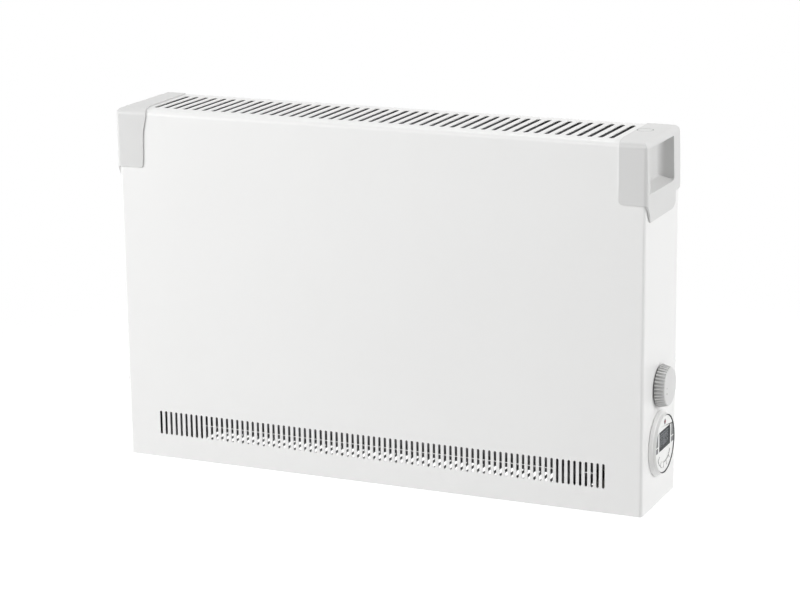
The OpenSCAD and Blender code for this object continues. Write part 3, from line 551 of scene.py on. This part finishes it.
class Skin:
    """The finishes of the heater, by the record's material slots."""

    ENAMEL = Finish(
        "enamel", "white_enamel", (0.86, 0.86, 0.853), 0.34, cell=0.5 * MM, depth=0.012 * MM, swell=2.5,
        drift=0.006, drift_cell=160 * MM, rub=0.3, rub_colour=(0.93, 0.93, 0.93), dust=0.03,
    )
    # Dark grey on the cover's inner faces: partly real primer, partly painted shade for the inside seen
    # through the slots.
    INNER_PRIMER_AND_SHADE = Finish(
        "inner_primer_and_painted_shade", "white_enamel", (0.2, 0.2, 0.205), 0.55, cell=0.5 * MM, depth=0.01 * MM, swell=1.5,
        drift=0.03, drift_cell=60 * MM, rub=0.2, rub_colour=(0.4, 0.4, 0.4), dust=0.1,
    )
    # Its darkening of hollows is painted shade in the knob's grooves and the cap's ring groove.
    CAP = Finish(
        "satin_cap", "cap_plastic", (0.69, 0.69, 0.685), 0.42, cell=0.35 * MM, depth=0.02 * MM, swell=0.6,
        drift=0.01, rub=0.35, rub_colour=(0.77, 0.77, 0.765), dust=0.04, shade_and_grime=0.75,
    )
    # Its darkening of hollows is painted shade in the gaps round the buttons and the timer's face.
    CONTROL = Finish(
        "smooth_control", "control_plastic", (0.87, 0.87, 0.86), 0.3, cell=0.3 * MM, depth=0.008 * MM,
        drift=0.01, drift_cell=30 * MM, rub=0.25, rub_colour=(0.91, 0.91, 0.91), dust=0.03, shade_and_grime=0.85,
    )
    WINDOW = ClearPlastic(
        "tinted_window", "dark_window", (0.42, 0.43, 0.45), 0.06, cell=0.8 * MM, depth=0.001 * MM, drift=0.02,
        rub=0.2, rub_colour=(0.3, 0.3, 0.3), dust=0.02, rough_swing=0.03, transmission=0.97, ior=1.08,
    )
    # Also laid on the bezel's groove round the timer's face, as painted shade.
    INLAY_AND_SHADE = Finish(
        "dark_inlay_and_painted_shade", "dark_window", (0.12, 0.125, 0.13), 0.35, cell=0.4 * MM, depth=0.004 * MM, drift=0.03,
        rub=0.15, rub_colour=(0.3, 0.3, 0.3), dust=0.04,
    )
    DISPLAY = Finish(
        "display_frame", "display_glass", (0.05, 0.052, 0.055), 0.45, specular=0.1, cell=0.4 * MM,
        depth=0.002 * MM, drift=0.06, drift_cell=8 * MM, dust=0.0,
    )
    FIELD = Finish(
        "display_field", "display_glass", (0.4, 0.41, 0.41), 0.4, specular=0.1, cell=0.4 * MM,
        depth=0.002 * MM, drift=0.04, drift_cell=8 * MM, dust=0.0,
    )
    SEGMENT = Finish(
        "display_segment", "display_glass", (0.03, 0.03, 0.032), 0.4, specular=0.1, cell=0.3 * MM,
        depth=0.002 * MM, drift=0.04, drift_cell=6 * MM, dust=0.0,
    )
    LENS = ClearPlastic(
        "red_lens_clear", "red_lens", (0.75, 0.05, 0.08), 0.12, cell=0.5 * MM, depth=0.002 * MM, drift=0.04,
        drift_cell=3 * MM, dust=0.02, rough_swing=0.04, transmission=0.5,
    )
    ZINC = Galvanised(
        "galvanised", "zinc_sheet", (0.4, 0.41, 0.42), 0.42, metallic=0.85, cell=0.7 * MM, depth=0.01 * MM,
        drift=0.05, drift_cell=40 * MM, rub=0.4, rub_colour=(0.62, 0.63, 0.64), dust=0.12,
        rough_swing=0.12,
    )
    PLATED = Finish(
        "bright_plating", "plated_steel", (0.6, 0.6, 0.6), 0.28, metallic=1.0, cell=0.3 * MM,
        depth=0.006 * MM, drift=0.04, drift_cell=6 * MM, rub=0.4, rub_colour=(0.75, 0.75, 0.75), dust=0.06,
    )
    # Dark zinc: partly heat darkening, partly painted shade for the inside seen through the slots.
    SOOTED_AND_SHADE = Galvanised(
        "warmed_galvanised_and_painted_shade", "zinc_sheet", (0.16, 0.16, 0.165), 0.5, metallic=0.6, cell=0.7 * MM,
        depth=0.01 * MM, drift=0.06, drift_cell=40 * MM, rub=0.3, rub_colour=(0.4, 0.4, 0.4), dust=0.2,
        dust_colour=(0.3, 0.29, 0.28), rough_swing=0.1, contrast=0.08,
    )
    ELEMENT = HeatTinted(
        "heated_steel", "element_steel", (0.14, 0.135, 0.13), 0.45, metallic=0.8, cell=0.4 * MM,
        depth=0.02 * MM, drift=0.08, drift_cell=30 * MM, dust=0.1,
    )
    STEATITE = Finish(
        "fired_steatite", "steatite", (0.72, 0.69, 0.63), 0.62, cell=0.25 * MM, depth=0.03 * MM, drift=0.04,
        drift_cell=8 * MM, dust=0.08,
    )
    PHENOLIC = Finish(
        "pale_phenolic", "phenolic", (0.6, 0.58, 0.52), 0.5, cell=0.3 * MM, depth=0.012 * MM, drift=0.03,
        drift_cell=15 * MM, dust=0.08,
    )
    NYLON = Finish(
        "black_nylon", "dark_nylon", (0.05, 0.05, 0.054), 0.46, cell=0.3 * MM, depth=0.02 * MM, drift=0.05,
        drift_cell=15 * MM, rub=0.3, rub_colour=(0.14, 0.14, 0.14), dust=0.1,
    )
    RUBBER = Finish(
        "soft_rubber", "buffer_rubber", (0.055, 0.055, 0.055), 0.75, cell=0.4 * MM, depth=0.03 * MM,
        drift=0.08, drift_cell=10 * MM, rub=0.4, rub_colour=(0.12, 0.12, 0.12), dust=0.15,
    )
    BRASS = Finish(
        "turned_brass", "brass", (0.6, 0.46, 0.22), 0.32, metallic=1.0, cell=0.25 * MM, depth=0.008 * MM,
        drift=0.08, drift_cell=5 * MM, rub=0.3, rub_colour=(0.75, 0.62, 0.36), dust=0.05,
    )
    BOARD = Finish(
        "solder_resist", "circuit_board", (0.05, 0.18, 0.09), 0.35, cell=0.5 * MM, depth=0.01 * MM,
        drift=0.08, drift_cell=6 * MM, dust=0.05,
    )
    PRINT = Finish(
        "grey_print", "cap_plastic", (0.3, 0.3, 0.3), 0.5, cell=0.3 * MM, depth=0.004 * MM, drift=0.05,
        drift_cell=4 * MM, dust=0.0,
    )


def edge_islands(edges: Iterable[bmesh.types.BMEdge]) -> dict[int, list[bmesh.types.BMEdge]]:
    """Sorts sharp edges into connected chains and puts chains of one length together.

    Args:
        edges: The sharp edges.

    Returns:
        The edges of all chains of a length, by that length.
    """
    left = set(edges)
    sorted_by_size: dict[int, list[bmesh.types.BMEdge]] = {}
    for first in list(edges):
        if first not in left:
            continue
        left.discard(first)
        chain = [first]
        for edge in chain:
            for vert in edge.verts:
                for near in vert.link_edges:
                    if near in left:
                        left.discard(near)
                        chain.append(near)
        sorted_by_size.setdefault(len(chain), []).extend(chain)
    return sorted_by_size


def finish_piece(
    name: str,
    form: bmesh.types.BMesh,
    finish: Finish,
    body: str,
    crease_deg: float = 30.0,
    inner: Finish | None = None,
) -> bpy.types.Object:
    """Turns a finished form into a piece that rides on a body.

    Args:
        name: The piece's name.
        form: Its form, in the row frame. It is freed.
        finish: Its finish.
        body: The body that it moves with.
        crease_deg: The angle past which an edge stays sharp.
        inner: The finish of the faces with material number 1, if there are any.

    Returns:
        The piece's object.
    """
    mesh = bpy.data.meshes.new(name)
    form.to_mesh(mesh)
    form.free()
    mesh.shade_smooth()
    mesh.set_sharp_from_angle(angle=math.radians(crease_deg))
    mesh.materials.append(finish.material())
    if inner is not None:
        mesh.materials.append(inner.material())
    piece = bpy.data.objects.new(name, mesh)
    bpy.context.scene.collection.objects.link(piece)
    weigh = piece.modifiers.new("weigh_normals", "WEIGHTED_NORMAL")
    weigh.keep_sharp = True
    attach(piece, body)
    log.info("%s: %d faces, rides on %s", name, len(mesh.polygons), body)
    return piece


def body_of(node: str) -> str:
    """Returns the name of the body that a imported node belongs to."""
    return frame["nodes"][node]["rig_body"]


@dataclass(frozen=True)
class SoftEdges:
    """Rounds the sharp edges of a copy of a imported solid."""

    radius: float
    segments: int = 2
    crease_deg: float = 28.0
    merge: float = 0.001 * MM
    flat_deg: float = 0.3

    def form(self, node: str) -> bmesh.types.BMesh:
        """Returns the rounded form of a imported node, with its edge layer.

        Args:
            node: The node's name.

        Returns:
            The new form, in the row frame.
        """
        form = bmesh.new()
        form.from_mesh(frame["nodes"][node].data)
        bmesh.ops.remove_doubles(form, verts=form.verts[:], dist=self.merge)
        bmesh.ops.dissolve_limit(
            form, angle_limit=math.radians(self.flat_deg), use_dissolve_boundaries=False,
            verts=form.verts[:], edges=form.edges[:],
        )
        layer = form.verts.layers.float.new(EDGE_LAYER)
        crease = math.radians(self.crease_deg)
        sharp = [e for e in form.edges if e.is_manifold and e.calc_face_angle(0.0) > crease]
        for chain in edge_islands(sharp).values():
            made = bmesh.ops.bevel(
                form, geom=chain, offset=self.radius, offset_type="OFFSET", segments=self.segments,
                profile=0.5, material=-1, affect="EDGES", clamp_overlap=True, loop_slide=True,
            )
            rounded = set(made["faces"])
            for vert in made["verts"]:
                if all(face in rounded for face in vert.link_faces):
                    vert[layer] = 1.0
        return form

    def dress(
        self,
        node: str,
        finish: Finish,
        inner: Finish | None = None,
        is_inner: FaceTest | None = None,
        hollow: Callable[[Vector], float] | None = None,
    ) -> bpy.types.Object:
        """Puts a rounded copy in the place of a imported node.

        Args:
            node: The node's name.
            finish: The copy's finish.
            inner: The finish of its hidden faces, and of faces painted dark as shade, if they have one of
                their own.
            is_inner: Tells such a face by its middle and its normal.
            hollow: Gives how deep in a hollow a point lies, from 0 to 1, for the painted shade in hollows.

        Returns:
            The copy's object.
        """
        form = self.form(node)
        if is_inner is not None:
            for face in form.faces:
                face.material_index = int(is_inner(face.calc_center_median(), face.normal))
        if hollow is not None:
            layer = form.verts.layers.float.new(HOLLOW_LAYER)
            for vert in form.verts:
                vert[layer] = hollow(vert.co)
        piece = finish_piece(node + "_formed", form, finish, body_of(node), inner=inner)
        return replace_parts(piece, node)


@cache
def box_of(node: str) -> tuple[Vector, Vector]:
    """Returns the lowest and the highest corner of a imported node, measured once."""
    low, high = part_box(node)
    return Vector(low), Vector(high)


@cache
def middle_of(node: str) -> Vector:
    """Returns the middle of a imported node's box."""
    low, high = box_of(node)
    return (low + high) / 2


def panel_x() -> float:
    """Returns where the outer face of the right side panel lies."""
    return box_of("front_cover")[1].x


def paint_nodes(finish: Finish, *nodes: str) -> None:
    """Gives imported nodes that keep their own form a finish.

    Args:
        finish: Their finish.
        nodes: The nodes' names.
    """
    for node in nodes:
        slots = frame["nodes"][node].data.materials
        for i in range(len(slots)):
            slots[i] = finish.material()
        log.info("%s: packed form, finish %s", node, finish.slot)


@dataclass
class Casing:
    """The folded cover, the back panel, the base plate and their screws."""

    sheet_edge: SoftEdges = field(default_factory=lambda: SoftEdges(0.25 * MM))
    panel_edge: SoftEdges = field(default_factory=lambda: SoftEdges(0.2 * MM))
    sheet_t: float = 0.9 * MM
    inner_share: float = 0.7
    rear_sheets: float = 2.0
    facing: float = 0.5

    def build(self) -> None:
        """Dresses the sheet parts."""
        # The cover's inner faces get the dark primer, partly painted shade.
        self.sheet_edge.dress("front_cover", Skin.ENAMEL, Skin.INNER_PRIMER_AND_SHADE, self.in_cover)
        # The back panel's inner faces get the dark zinc, partly painted shade.
        self.panel_edge.dress("back_panel", Skin.ZINC, Skin.SOOTED_AND_SHADE, self.in_panel)
        self.panel_edge.dress("base_plate", Skin.ZINC)
        paint_nodes(Skin.PLATED, "casing_screws", "cap_screws")

    def in_cover(self, middle: Vector, normal: Vector) -> bool:
        """Tells whether a face of the cover is on its inner side, which has a dark grey primer but no enamel:
        partly real primer, partly painted shade for the inside seen through the slots.

        Args:
            middle: The face's middle.
            normal: The face's normal.

        Returns:
            Whether the face looks into the casing.
        """
        low, high = box_of("front_cover")
        depth = min(middle.x - low.x, high.x - middle.x, middle.y - low.y, high.z - middle.z)
        looks_in = normal.dot(middle_of("front_cover") - middle) > 0.0
        in_front = middle.y < high.y - self.rear_sheets * self.sheet_t
        return looks_in and in_front and depth > self.inner_share * self.sheet_t

    def in_panel(self, middle: Vector, normal: Vector) -> bool:
        """Tells whether a face of the back panel looks into the casing."""
        return normal.y < -self.facing


@dataclass
class EndCaps:
    """The two moulded caps with their handle pockets."""

    moulded_edge: SoftEdges = field(default_factory=lambda: SoftEdges(0.6 * MM, segments=3))
    mark_middle: tuple[float, float] = (313.6 * MM, -46.4 * MM)
    mark_r: float = 10 * MM
    mark_line: float = 1.2 * MM
    mark_lines: tuple[float, float] = (-1.3, 0.3)
    mark_depth: float = 0.5 * MM
    mark_depths: tuple[float, float] = (0.3, 1.2)

    def build(self) -> None:
        """Dresses both caps."""
        # The ring groove on the right cap's top is darkened: painted shade, with a little grime.
        self.moulded_edge.dress("right_end_cap", Skin.CAP, hollow=self.in_mark)
        self.moulded_edge.dress("left_end_cap", Skin.CAP)

    def in_mark(self, point: Vector) -> float:
        """Tells whether a point lies in the groove of the ring on the right cap's top.

        Args:
            point: A point of the cap.

        Returns:
            1 in the groove, and 0 elsewhere.
        """
        near, far = (self.mark_r + lines * self.mark_line for lines in self.mark_lines)
        shallow, deep = (depths * self.mark_depth for depths in self.mark_depths)
        reach = (point.xy - Vector(self.mark_middle)).length
        sunk = box_of("right_end_cap")[1].z - point.z
        return float(near < reach < far and shallow < sunk < deep)


@dataclass
class WallFixing:
    """The pressed wall bracket and the rubber buffers."""

    pressed_edge: SoftEdges = field(default_factory=lambda: SoftEdges(0.3 * MM))

    def build(self) -> None:
        """Dresses what holds the heater to the wall."""
        self.pressed_edge.dress("wall_bracket", Skin.ZINC)
        self.pressed_edge.dress("wall_buffers", Skin.RUBBER)


@dataclass
class HeatingUnit:
    """The elements with what carries and guards them."""

    def build(self) -> None:
        """Gives the inner pieces their finishes."""
        # The baffle and the bracket get the dark zinc: partly heat darkening, partly painted shade.
        paint_nodes(Skin.SOOTED_AND_SHADE, "heat_baffle", "element_bracket")
        paint_nodes(Skin.ZINC, "control_partition")
        paint_nodes(Skin.ELEMENT, "front_element", "rear_element")
        paint_nodes(Skin.STEATITE, "ceramic_bushes")
        paint_nodes(Skin.PLATED, "thermal_cutout")


@dataclass
class Connections:
    """The terminal block, the cable gland and the earth screw."""

    def build(self) -> None:
        """Gives the electrical pieces their finishes."""
        paint_nodes(Skin.PHENOLIC, "terminal_block")
        paint_nodes(Skin.NYLON, "cable_gland", "gland_nut")
        paint_nodes(Skin.BRASS, "earth_screw")


@dataclass
class Thermostat:
    """The control behind the side panel and its ribbed knob."""

    knob_edge: SoftEdges = field(default_factory=lambda: SoftEdges(0.18 * MM))
    draft: float = 3 * MM
    flank_h: float = 12 * MM
    groove_depth: float = 1.35 * MM
    groove_l: float = 9.9 * MM
    mark_r: float = 1.1 * MM
    mark_t: float = 0.12 * MM
    mark_sunk: float = 0.47 * MM
    mark_taper: float = 0.9
    mark_facets: int = 20
    marks: tuple[tuple[float, float], ...] = ((-14.3 * MM, 1.4 * MM), (-14.3 * MM, -5.2 * MM))

    def build(self) -> None:
        """Dresses the knob and the control."""
        # The knob's grooves are darkened: painted shade, with a little grime.
        self.knob_edge.dress("thermostat_knob", Skin.CAP, hollow=self.in_groove)
        finish_piece("knob_marks", self.marks_form(), Skin.PRINT, body_of("thermostat_knob"))
        paint_nodes(Skin.PHENOLIC, "thermostat_body")
        paint_nodes(Skin.BRASS, "thermostat_nut")
        paint_nodes(Skin.PLATED, "thermostat_shaft")

    def in_groove(self, point: Vector) -> float:
        """Tells how deep in one of the knob's grooves a point lies.

        Args:
            point: A point of the knob.

        Returns:
            0 on the ribs and at the ends, and 1 on the bottom of a groove.
        """
        low, high = box_of("thermostat_knob")
        rise = point.x - low.x
        rim = (high.z - low.z) / 2 - self.draft * rise / self.flank_h
        sunk = rim - (point.yz - middle_of("thermostat_knob").yz).length
        if rise > self.groove_l or sunk > 2 * self.groove_depth:
            return 0.0
        return min(max(sunk / self.groove_depth, 0.0), 1.0)

    def marks_form(self) -> bmesh.types.BMesh:
        """Shapes the two printed dots on the knob's face.

        Returns:
            Their form, in the row frame.
        """
        form = bmesh.new()
        middle = middle_of("thermostat_knob")
        height = box_of("thermostat_knob")[1].x - self.mark_sunk
        for across, up in self.marks:
            place = Matrix.Translation((height, middle.y + across, middle.z + up))
            bmesh.ops.create_cone(
                form, cap_ends=True, segments=self.mark_facets, radius1=self.mark_r,
                radius2=self.mark_taper * self.mark_r, depth=self.mark_t,
                matrix=place @ Matrix.Rotation(math.radians(90.0), 4, "Y"),
            )
        return form


class Segment(Enum):
    """The segments of a digit: place across, place up, and whether it lies level."""

    TOP = (0.0, 1.0, True)
    MIDDLE = (0.0, 0.0, True)
    BOTTOM = (0.0, -1.0, True)
    UPPER_LEFT = (-1.0, 0.5, False)
    UPPER_RIGHT = (1.0, 0.5, False)
    LOWER_LEFT = (-1.0, -0.5, False)
    LOWER_RIGHT = (1.0, -0.5, False)


DIGITS: dict[str, tuple[Segment, ...]] = {
    "0": tuple(s for s in Segment if s is not Segment.MIDDLE),
    "2": tuple(s for s in Segment if s not in (Segment.UPPER_LEFT, Segment.LOWER_RIGHT)),
    "4": (Segment.MIDDLE, Segment.UPPER_LEFT, Segment.UPPER_RIGHT, Segment.LOWER_RIGHT),
    "5": tuple(s for s in Segment if s not in (Segment.UPPER_RIGHT, Segment.LOWER_LEFT)),
}


@dataclass
class Timer:
    """The round timer with its display and push buttons."""

    rim_edge: SoftEdges = field(default_factory=lambda: SoftEdges(0.2 * MM))
    button_edge: SoftEdges = field(default_factory=lambda: SoftEdges(0.2 * MM))
    groove_reach: tuple[float, float] = (33.5 * MM, 35.2 * MM)
    groove_top: float = 7.9 * MM
    buttons: int = 5
    gap_depth: float = 0.25 * MM
    field_inset: float = 2.8 * MM
    field_corner: float = 0.8 * MM
    corner_facets: int = 4
    film_t: float = 0.05 * MM
    film_gap: float = 0.01 * MM
    digit_w: float = 4.8 * MM
    digit_h: float = 9.6 * MM
    digit_pitch: float = 7.2 * MM
    stroke: float = 1.6 * MM
    stroke_facets: int = 6
    digit_rise: float = -2.2 * MM
    colon_share: float = 0.2
    reading: str = "20 45"
    bars: int = 7
    bars_rise: float = 5.6 * MM
    bar_share: tuple[float, float] = (0.6, 0.9)

    def build(self) -> None:
        """Dresses the timer."""
        # The bezel's groove gets the dark inlay finish, as painted shade.
        self.rim_edge.dress("timer_bezel", Skin.CONTROL, Skin.INLAY_AND_SHADE, self.in_rim_groove)
        # The gaps round the timer's face are darkened as painted shade.
        self.rim_edge.dress("timer_face", Skin.CONTROL, hollow=self.below_face("timer_face"))
        body = body_of("timer_display")
        finish_piece("timer_field", self.field_form(), Skin.FIELD, body)
        finish_piece("timer_digits", self.digits_form(), Skin.SEGMENT, body)
        for number in range(1, self.buttons + 1):
            button = f"timer_button_{number}"
            # The gaps round each button are darkened as painted shade.
            self.button_edge.dress(button, Skin.CONTROL, hollow=self.below_face(button))
        paint_nodes(Skin.WINDOW, "timer_window")
        paint_nodes(Skin.INLAY_AND_SHADE, "timer_side_panels")
        paint_nodes(Skin.DISPLAY, "timer_display")
        paint_nodes(Skin.LENS, "timer_led")
        paint_nodes(Skin.BOARD, "timer_board")
        paint_nodes(Skin.NYLON, "timer_housing", "timer_switches")

    def below_face(self, node: str) -> Callable[[Vector], float]:
        """Makes the test for the gaps round the buttons and the timer's face, which are darkened as painted
        shade.

        Args:
            node: The node that the test is for.

        Returns:
            A function that gives 0 on the node's outer face and 1 below its rounded edge.
        """
        face = box_of(node)[1].x
        return lambda point: min(max((face - point.x) / self.gap_depth, 0.0), 1.0)

    def in_rim_groove(self, middle: Vector, normal: Vector) -> bool:
        """Tells whether a face of the bezel lies in the groove round the timer's face, which gets the dark
        inlay finish as painted shade.

        Args:
            middle: The face's middle.
            normal: The face's normal, which is not used.

        Returns:
            Whether the face is in the groove.
        """
        reach = (middle.yz - middle_of("timer_bezel").yz).length
        rise = middle.x - panel_x()
        return self.groove_reach[0] < reach < self.groove_reach[1] and 0.0 < rise < self.groove_top

    def on_display(self, across: float, up: float, layer: int) -> Vector:
        """Returns a point above the display.

        Args:
            across: How far it lies to the right of the display's middle.
            up: How far it lies above the display's middle.
            layer: The number of printed films below it.

        Returns:
            The point, in the row frame.
        """
        middle = middle_of("timer_display")
        height = box_of("timer_display")[1].x + (layer + 0.5) * self.film_t + (layer + 1) * self.film_gap
        return Vector((height, middle.y + across, middle.z + up))

    def film(self, form: bmesh.types.BMesh, middle: Vector, size: tuple[float, float]) -> None:
        """Adds a thin upright plate.

        Args:
            form: The form to add it to.
            middle: Its middle.
            size: Its width and its height.
        """
        stretch = Matrix.Diagonal((self.film_t, *size, 1.0))
        bmesh.ops.create_cube(form, size=1.0, matrix=Matrix.Translation(middle) @ stretch)

    def field_form(self) -> bmesh.types.BMesh:
        """Shapes the paler field of the display, inside its dark frame.

        Returns:
            Its form, in the row frame.
        """
        form = bmesh.new()
        low, high = box_of("timer_display")
        size = tuple(side - 2 * self.field_inset for side in (high - low).yz)
        self.film(form, self.on_display(0.0, 0.0, 0), size)
        corners = [e for e in form.edges if abs(e.verts[0].co.x - e.verts[1].co.x) > 0.5 * self.film_t]
        bmesh.ops.bevel(
            form, geom=corners, offset=self.field_corner, offset_type="OFFSET",
            segments=self.corner_facets, profile=0.5, material=-1, affect="EDGES",
        )
        return form

    def digits_form(self) -> bmesh.types.BMesh:
        """Shapes the clock reading, its colon and the row of plain bars above it.

        Returns:
            Their form, in the row frame.
        """
        form = bmesh.new()
        width = self.digit_pitch * (len(self.reading) - 1)
        for place, sign in enumerate(self.reading):
            across = place * self.digit_pitch - width / 2
            for segment in DIGITS.get(sign, ()):
                self.segment(form, segment, across)
            if sign == " ":
                self.colon(form, across)
        step = width / (self.bars - 1)
        bar = (self.bar_share[0] * step, self.bar_share[1] * self.stroke)
        for place in range(self.bars):
            across = (place - (self.bars - 1) / 2) * step
            self.film(form, self.on_display(across, self.bars_rise, 1), bar)
        return form

    def colon(self, form: bmesh.types.BMesh, across: float) -> None:
        """Adds the two dots between hours and minutes.

        Args:
            form: The form to add them to.
            across: Their place across the display.
        """
        for share in (-self.colon_share, self.colon_share):
            up = share * self.digit_h + self.digit_rise
            self.film(form, self.on_display(across, up, 1), (self.stroke, self.stroke))

    def segment(self, form: bmesh.types.BMesh, segment: Segment, across: float) -> None:
        """Adds a pointed segment of a digit.

        Args:
            form: The form to add it to.
            segment: Which of the seven it is.
            across: The digit's place across the display.
        """
        right, up, level = segment.value
        length = self.digit_w if level else self.digit_h / 2
        middle = self.on_display(
            across + right * self.digit_w / 2, up * self.digit_h / 2 + self.digit_rise, 1
        )
        long_side = Matrix.Rotation(0.0 if level else math.radians(90.0), 4, "X")
        stretch = Matrix.Diagonal((1.0, length / self.stroke, 1.0, 1.0))
        upright = Matrix.Rotation(math.radians(90.0), 4, "Y") @ Matrix.Rotation(math.radians(90.0), 4, "Z")
        bmesh.ops.create_cone(
            form, cap_ends=True, segments=self.stroke_facets, radius1=self.stroke / 2,
            radius2=self.stroke / 2, depth=self.film_t,
            matrix=Matrix.Translation(middle) @ long_side @ stretch @ upright,
        )


@dataclass(frozen=True)
class SoftBox:
    """A softbox that looks at a point. Places and sizes are in metres, and the power is in watts."""

    name: str
    place: tuple[float, float, float]
    size: tuple[float, float]
    power: float
    aim: tuple[float, float, float] = (0.0, -0.06, -0.1)

    def build(self) -> None:
        """Adds the light."""
        lamp = bpy.data.lights.new(self.name, "AREA")
        lamp.shape = "RECTANGLE"
        lamp.size, lamp.size_y = self.size
        lamp.energy = self.power
        light = bpy.data.objects.new(self.name, lamp)
        light.location = self.place
        light.rotation_euler = (Vector(self.aim) - Vector(self.place)).to_track_quat("-Z", "Y").to_euler()
        bpy.context.scene.collection.objects.link(light)


@dataclass
class Studio:
    """The floor, the light and the camera."""

    floor_drop: float = 0.26
    floor_radius: float = 12.0
    floor_facets: int = 64
    floor_colour: Colour = (0.74, 0.74, 0.74)
    floor_lift: float = 0.5
    floor_solid_to: float = 0.75
    floor_gone_by: float = 2.0
    sky: float = 0.1
    lens_mm: float = 114.12
    sensor_mm: float = 36.0
    sight: float = 100.0
    camera_place: tuple[float, float, float] = (1.2204, -2.7896, 0.6614)
    heading_deg: float = 23.949
    pitch_deg: float = 14.477
    roll_deg: float = -0.728
    boxes: tuple[SoftBox, ...] = (
        SoftBox("far_left_box", (-3.0, -2.2, 1.0), (1.8, 1.8), 88.0),
        SoftBox("front_high_box", (-0.6, -3.2, 2.4), (2.0, 1.6), 55.0),
        SoftBox("right_box", (3.2, 0.6, 1.4), (1.8, 2.2), 80.0),
        SoftBox("top_rear_box", (0.0, 1.4, 2.8), (2.4, 1.6), 35.0),
        SoftBox("rear_box", (-1.5, 3.0, -0.25), (2.4, 0.5), 34.0, (0.0, 0.0, -0.2)),
    )

    def build(self) -> None:
        """Sets the stage."""
        self.world()
        self.floor()
        self.camera()
        for box in self.boxes:
            box.build()
        bpy.context.scene.view_settings.view_transform = "Standard"

    def world(self) -> None:
        """Makes an even sky that is white where it is seen or mirrored."""
        world = bpy.data.worlds.new("studio")
        bpy.context.scene.world = world
        world.use_nodes = True
        world.node_tree.nodes.clear()
        board = Board(world.node_tree)
        strength = board.spread(self.seen(board), self.sky, 1.0)
        sky = board.add("Background", None, Color=WHITE, Strength=strength)
        end = board.add("OutputWorld")
        board.feed(end.inputs["Surface"], sky.outputs["Background"])

    def seen(self, board: Board) -> bpy.types.NodeSocket:
        """Adds the test that lets the world and the floor be white without lighting the object.

        Args:
            board: The board to add it to.

        Returns:
            A socket with 1 where the camera, a reflection or clear plastic looks, and 0 elsewhere.
        """
        path = board.add("LightPath").outputs
        looks = board.math("MAXIMUM", path["Is Camera Ray"], path["Is Glossy Ray"])
        return board.math("MAXIMUM", looks, path["Is Transmission Ray"])

    def floor(self) -> None:
        """Lays the floor below the heater."""
        form = bmesh.new()
        bmesh.ops.create_circle(form, cap_ends=True, radius=self.floor_radius, segments=self.floor_facets)
        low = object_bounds()[0].z - self.floor_drop
        bmesh.ops.translate(form, verts=form.verts, vec=(0.0, 0.0, low))
        mesh = bpy.data.meshes.new("floor")
        form.to_mesh(mesh)
        form.free()
        mesh.materials.append(self.floor_material())
        floor = bpy.data.objects.new("floor", mesh)
        bpy.context.scene.collection.objects.link(floor)
        floor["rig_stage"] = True

    def floor_material(self) -> bpy.types.Material:
        """Makes a pale finish, lifted to white near the heater, that is clear further out and from below.

        Returns:
            The new material.
        """
        material = bpy.data.materials.new("floor")
        material.use_nodes = True
        material.node_tree.nodes.clear()
        board = Board(material.node_tree)
        seen = self.seen(board)
        matt = board.add("BsdfDiffuse", None, Color=self.floor_colour)
        lift = board.math("MULTIPLY", seen, self.floor_lift)
        glow = board.add("Emission", None, Color=WHITE, Strength=lift)
        both = board.add("AddShader")
        board.feed(both.inputs[0], matt.outputs["BSDF"])
        board.feed(both.inputs[1], glow.outputs["Emission"])
        place = board.add("TexCoord").outputs["Object"]
        away = board.add("VectorMath", {"operation": "LENGTH"}, Vector=place).outputs["Value"]
        faded = board.add(
            "MapRange", {"interpolation_type": "SMOOTHSTEP"}, Value=away,
            From_Min=self.floor_solid_to, From_Max=self.floor_gone_by,
        ).outputs["Result"]
        gone = board.math("MAXIMUM", faded, board.add("NewGeometry").outputs["Backfacing"])
        blend = board.add("MixShader", None, Fac=board.math("MULTIPLY", gone, seen))
        board.feed(blend.inputs[1], both.outputs["Shader"])
        board.feed(blend.inputs[2], board.add("BsdfTransparent").outputs["BSDF"])
        end = board.add("OutputMaterial")
        board.feed(end.inputs["Surface"], blend.outputs["Shader"])
        return material

    def camera(self) -> None:
        """Makes the camera that was fitted to the photograph's corners and slots."""
        lens = bpy.data.cameras.new("camera")
        lens.lens = self.lens_mm
        lens.sensor_width = self.sensor_mm
        lens.clip_end = self.sight
        camera = bpy.data.objects.new("camera", lens)
        turn = (
            Matrix.Rotation(math.radians(self.heading_deg), 4, "Z")
            @ Matrix.Rotation(math.radians(90.0 - self.pitch_deg), 4, "X")
            @ Matrix.Rotation(math.radians(self.roll_deg), 4, "Z")
        )
        camera.matrix_world = Matrix.Translation(self.camera_place) @ turn
        bpy.context.scene.collection.objects.link(camera)
        bpy.context.scene.camera = camera


def main() -> None:
    """Builds the heater's looks and the studio."""
    logging.basicConfig(level=logging.INFO, format="%(name)s: %(message)s")
    Studio().build()
    for part in (Casing(), EndCaps(), WallFixing(), HeatingUnit(), Connections(), Thermostat(), Timer()):
        part.build()


if __name__ == "__main__":
    main()
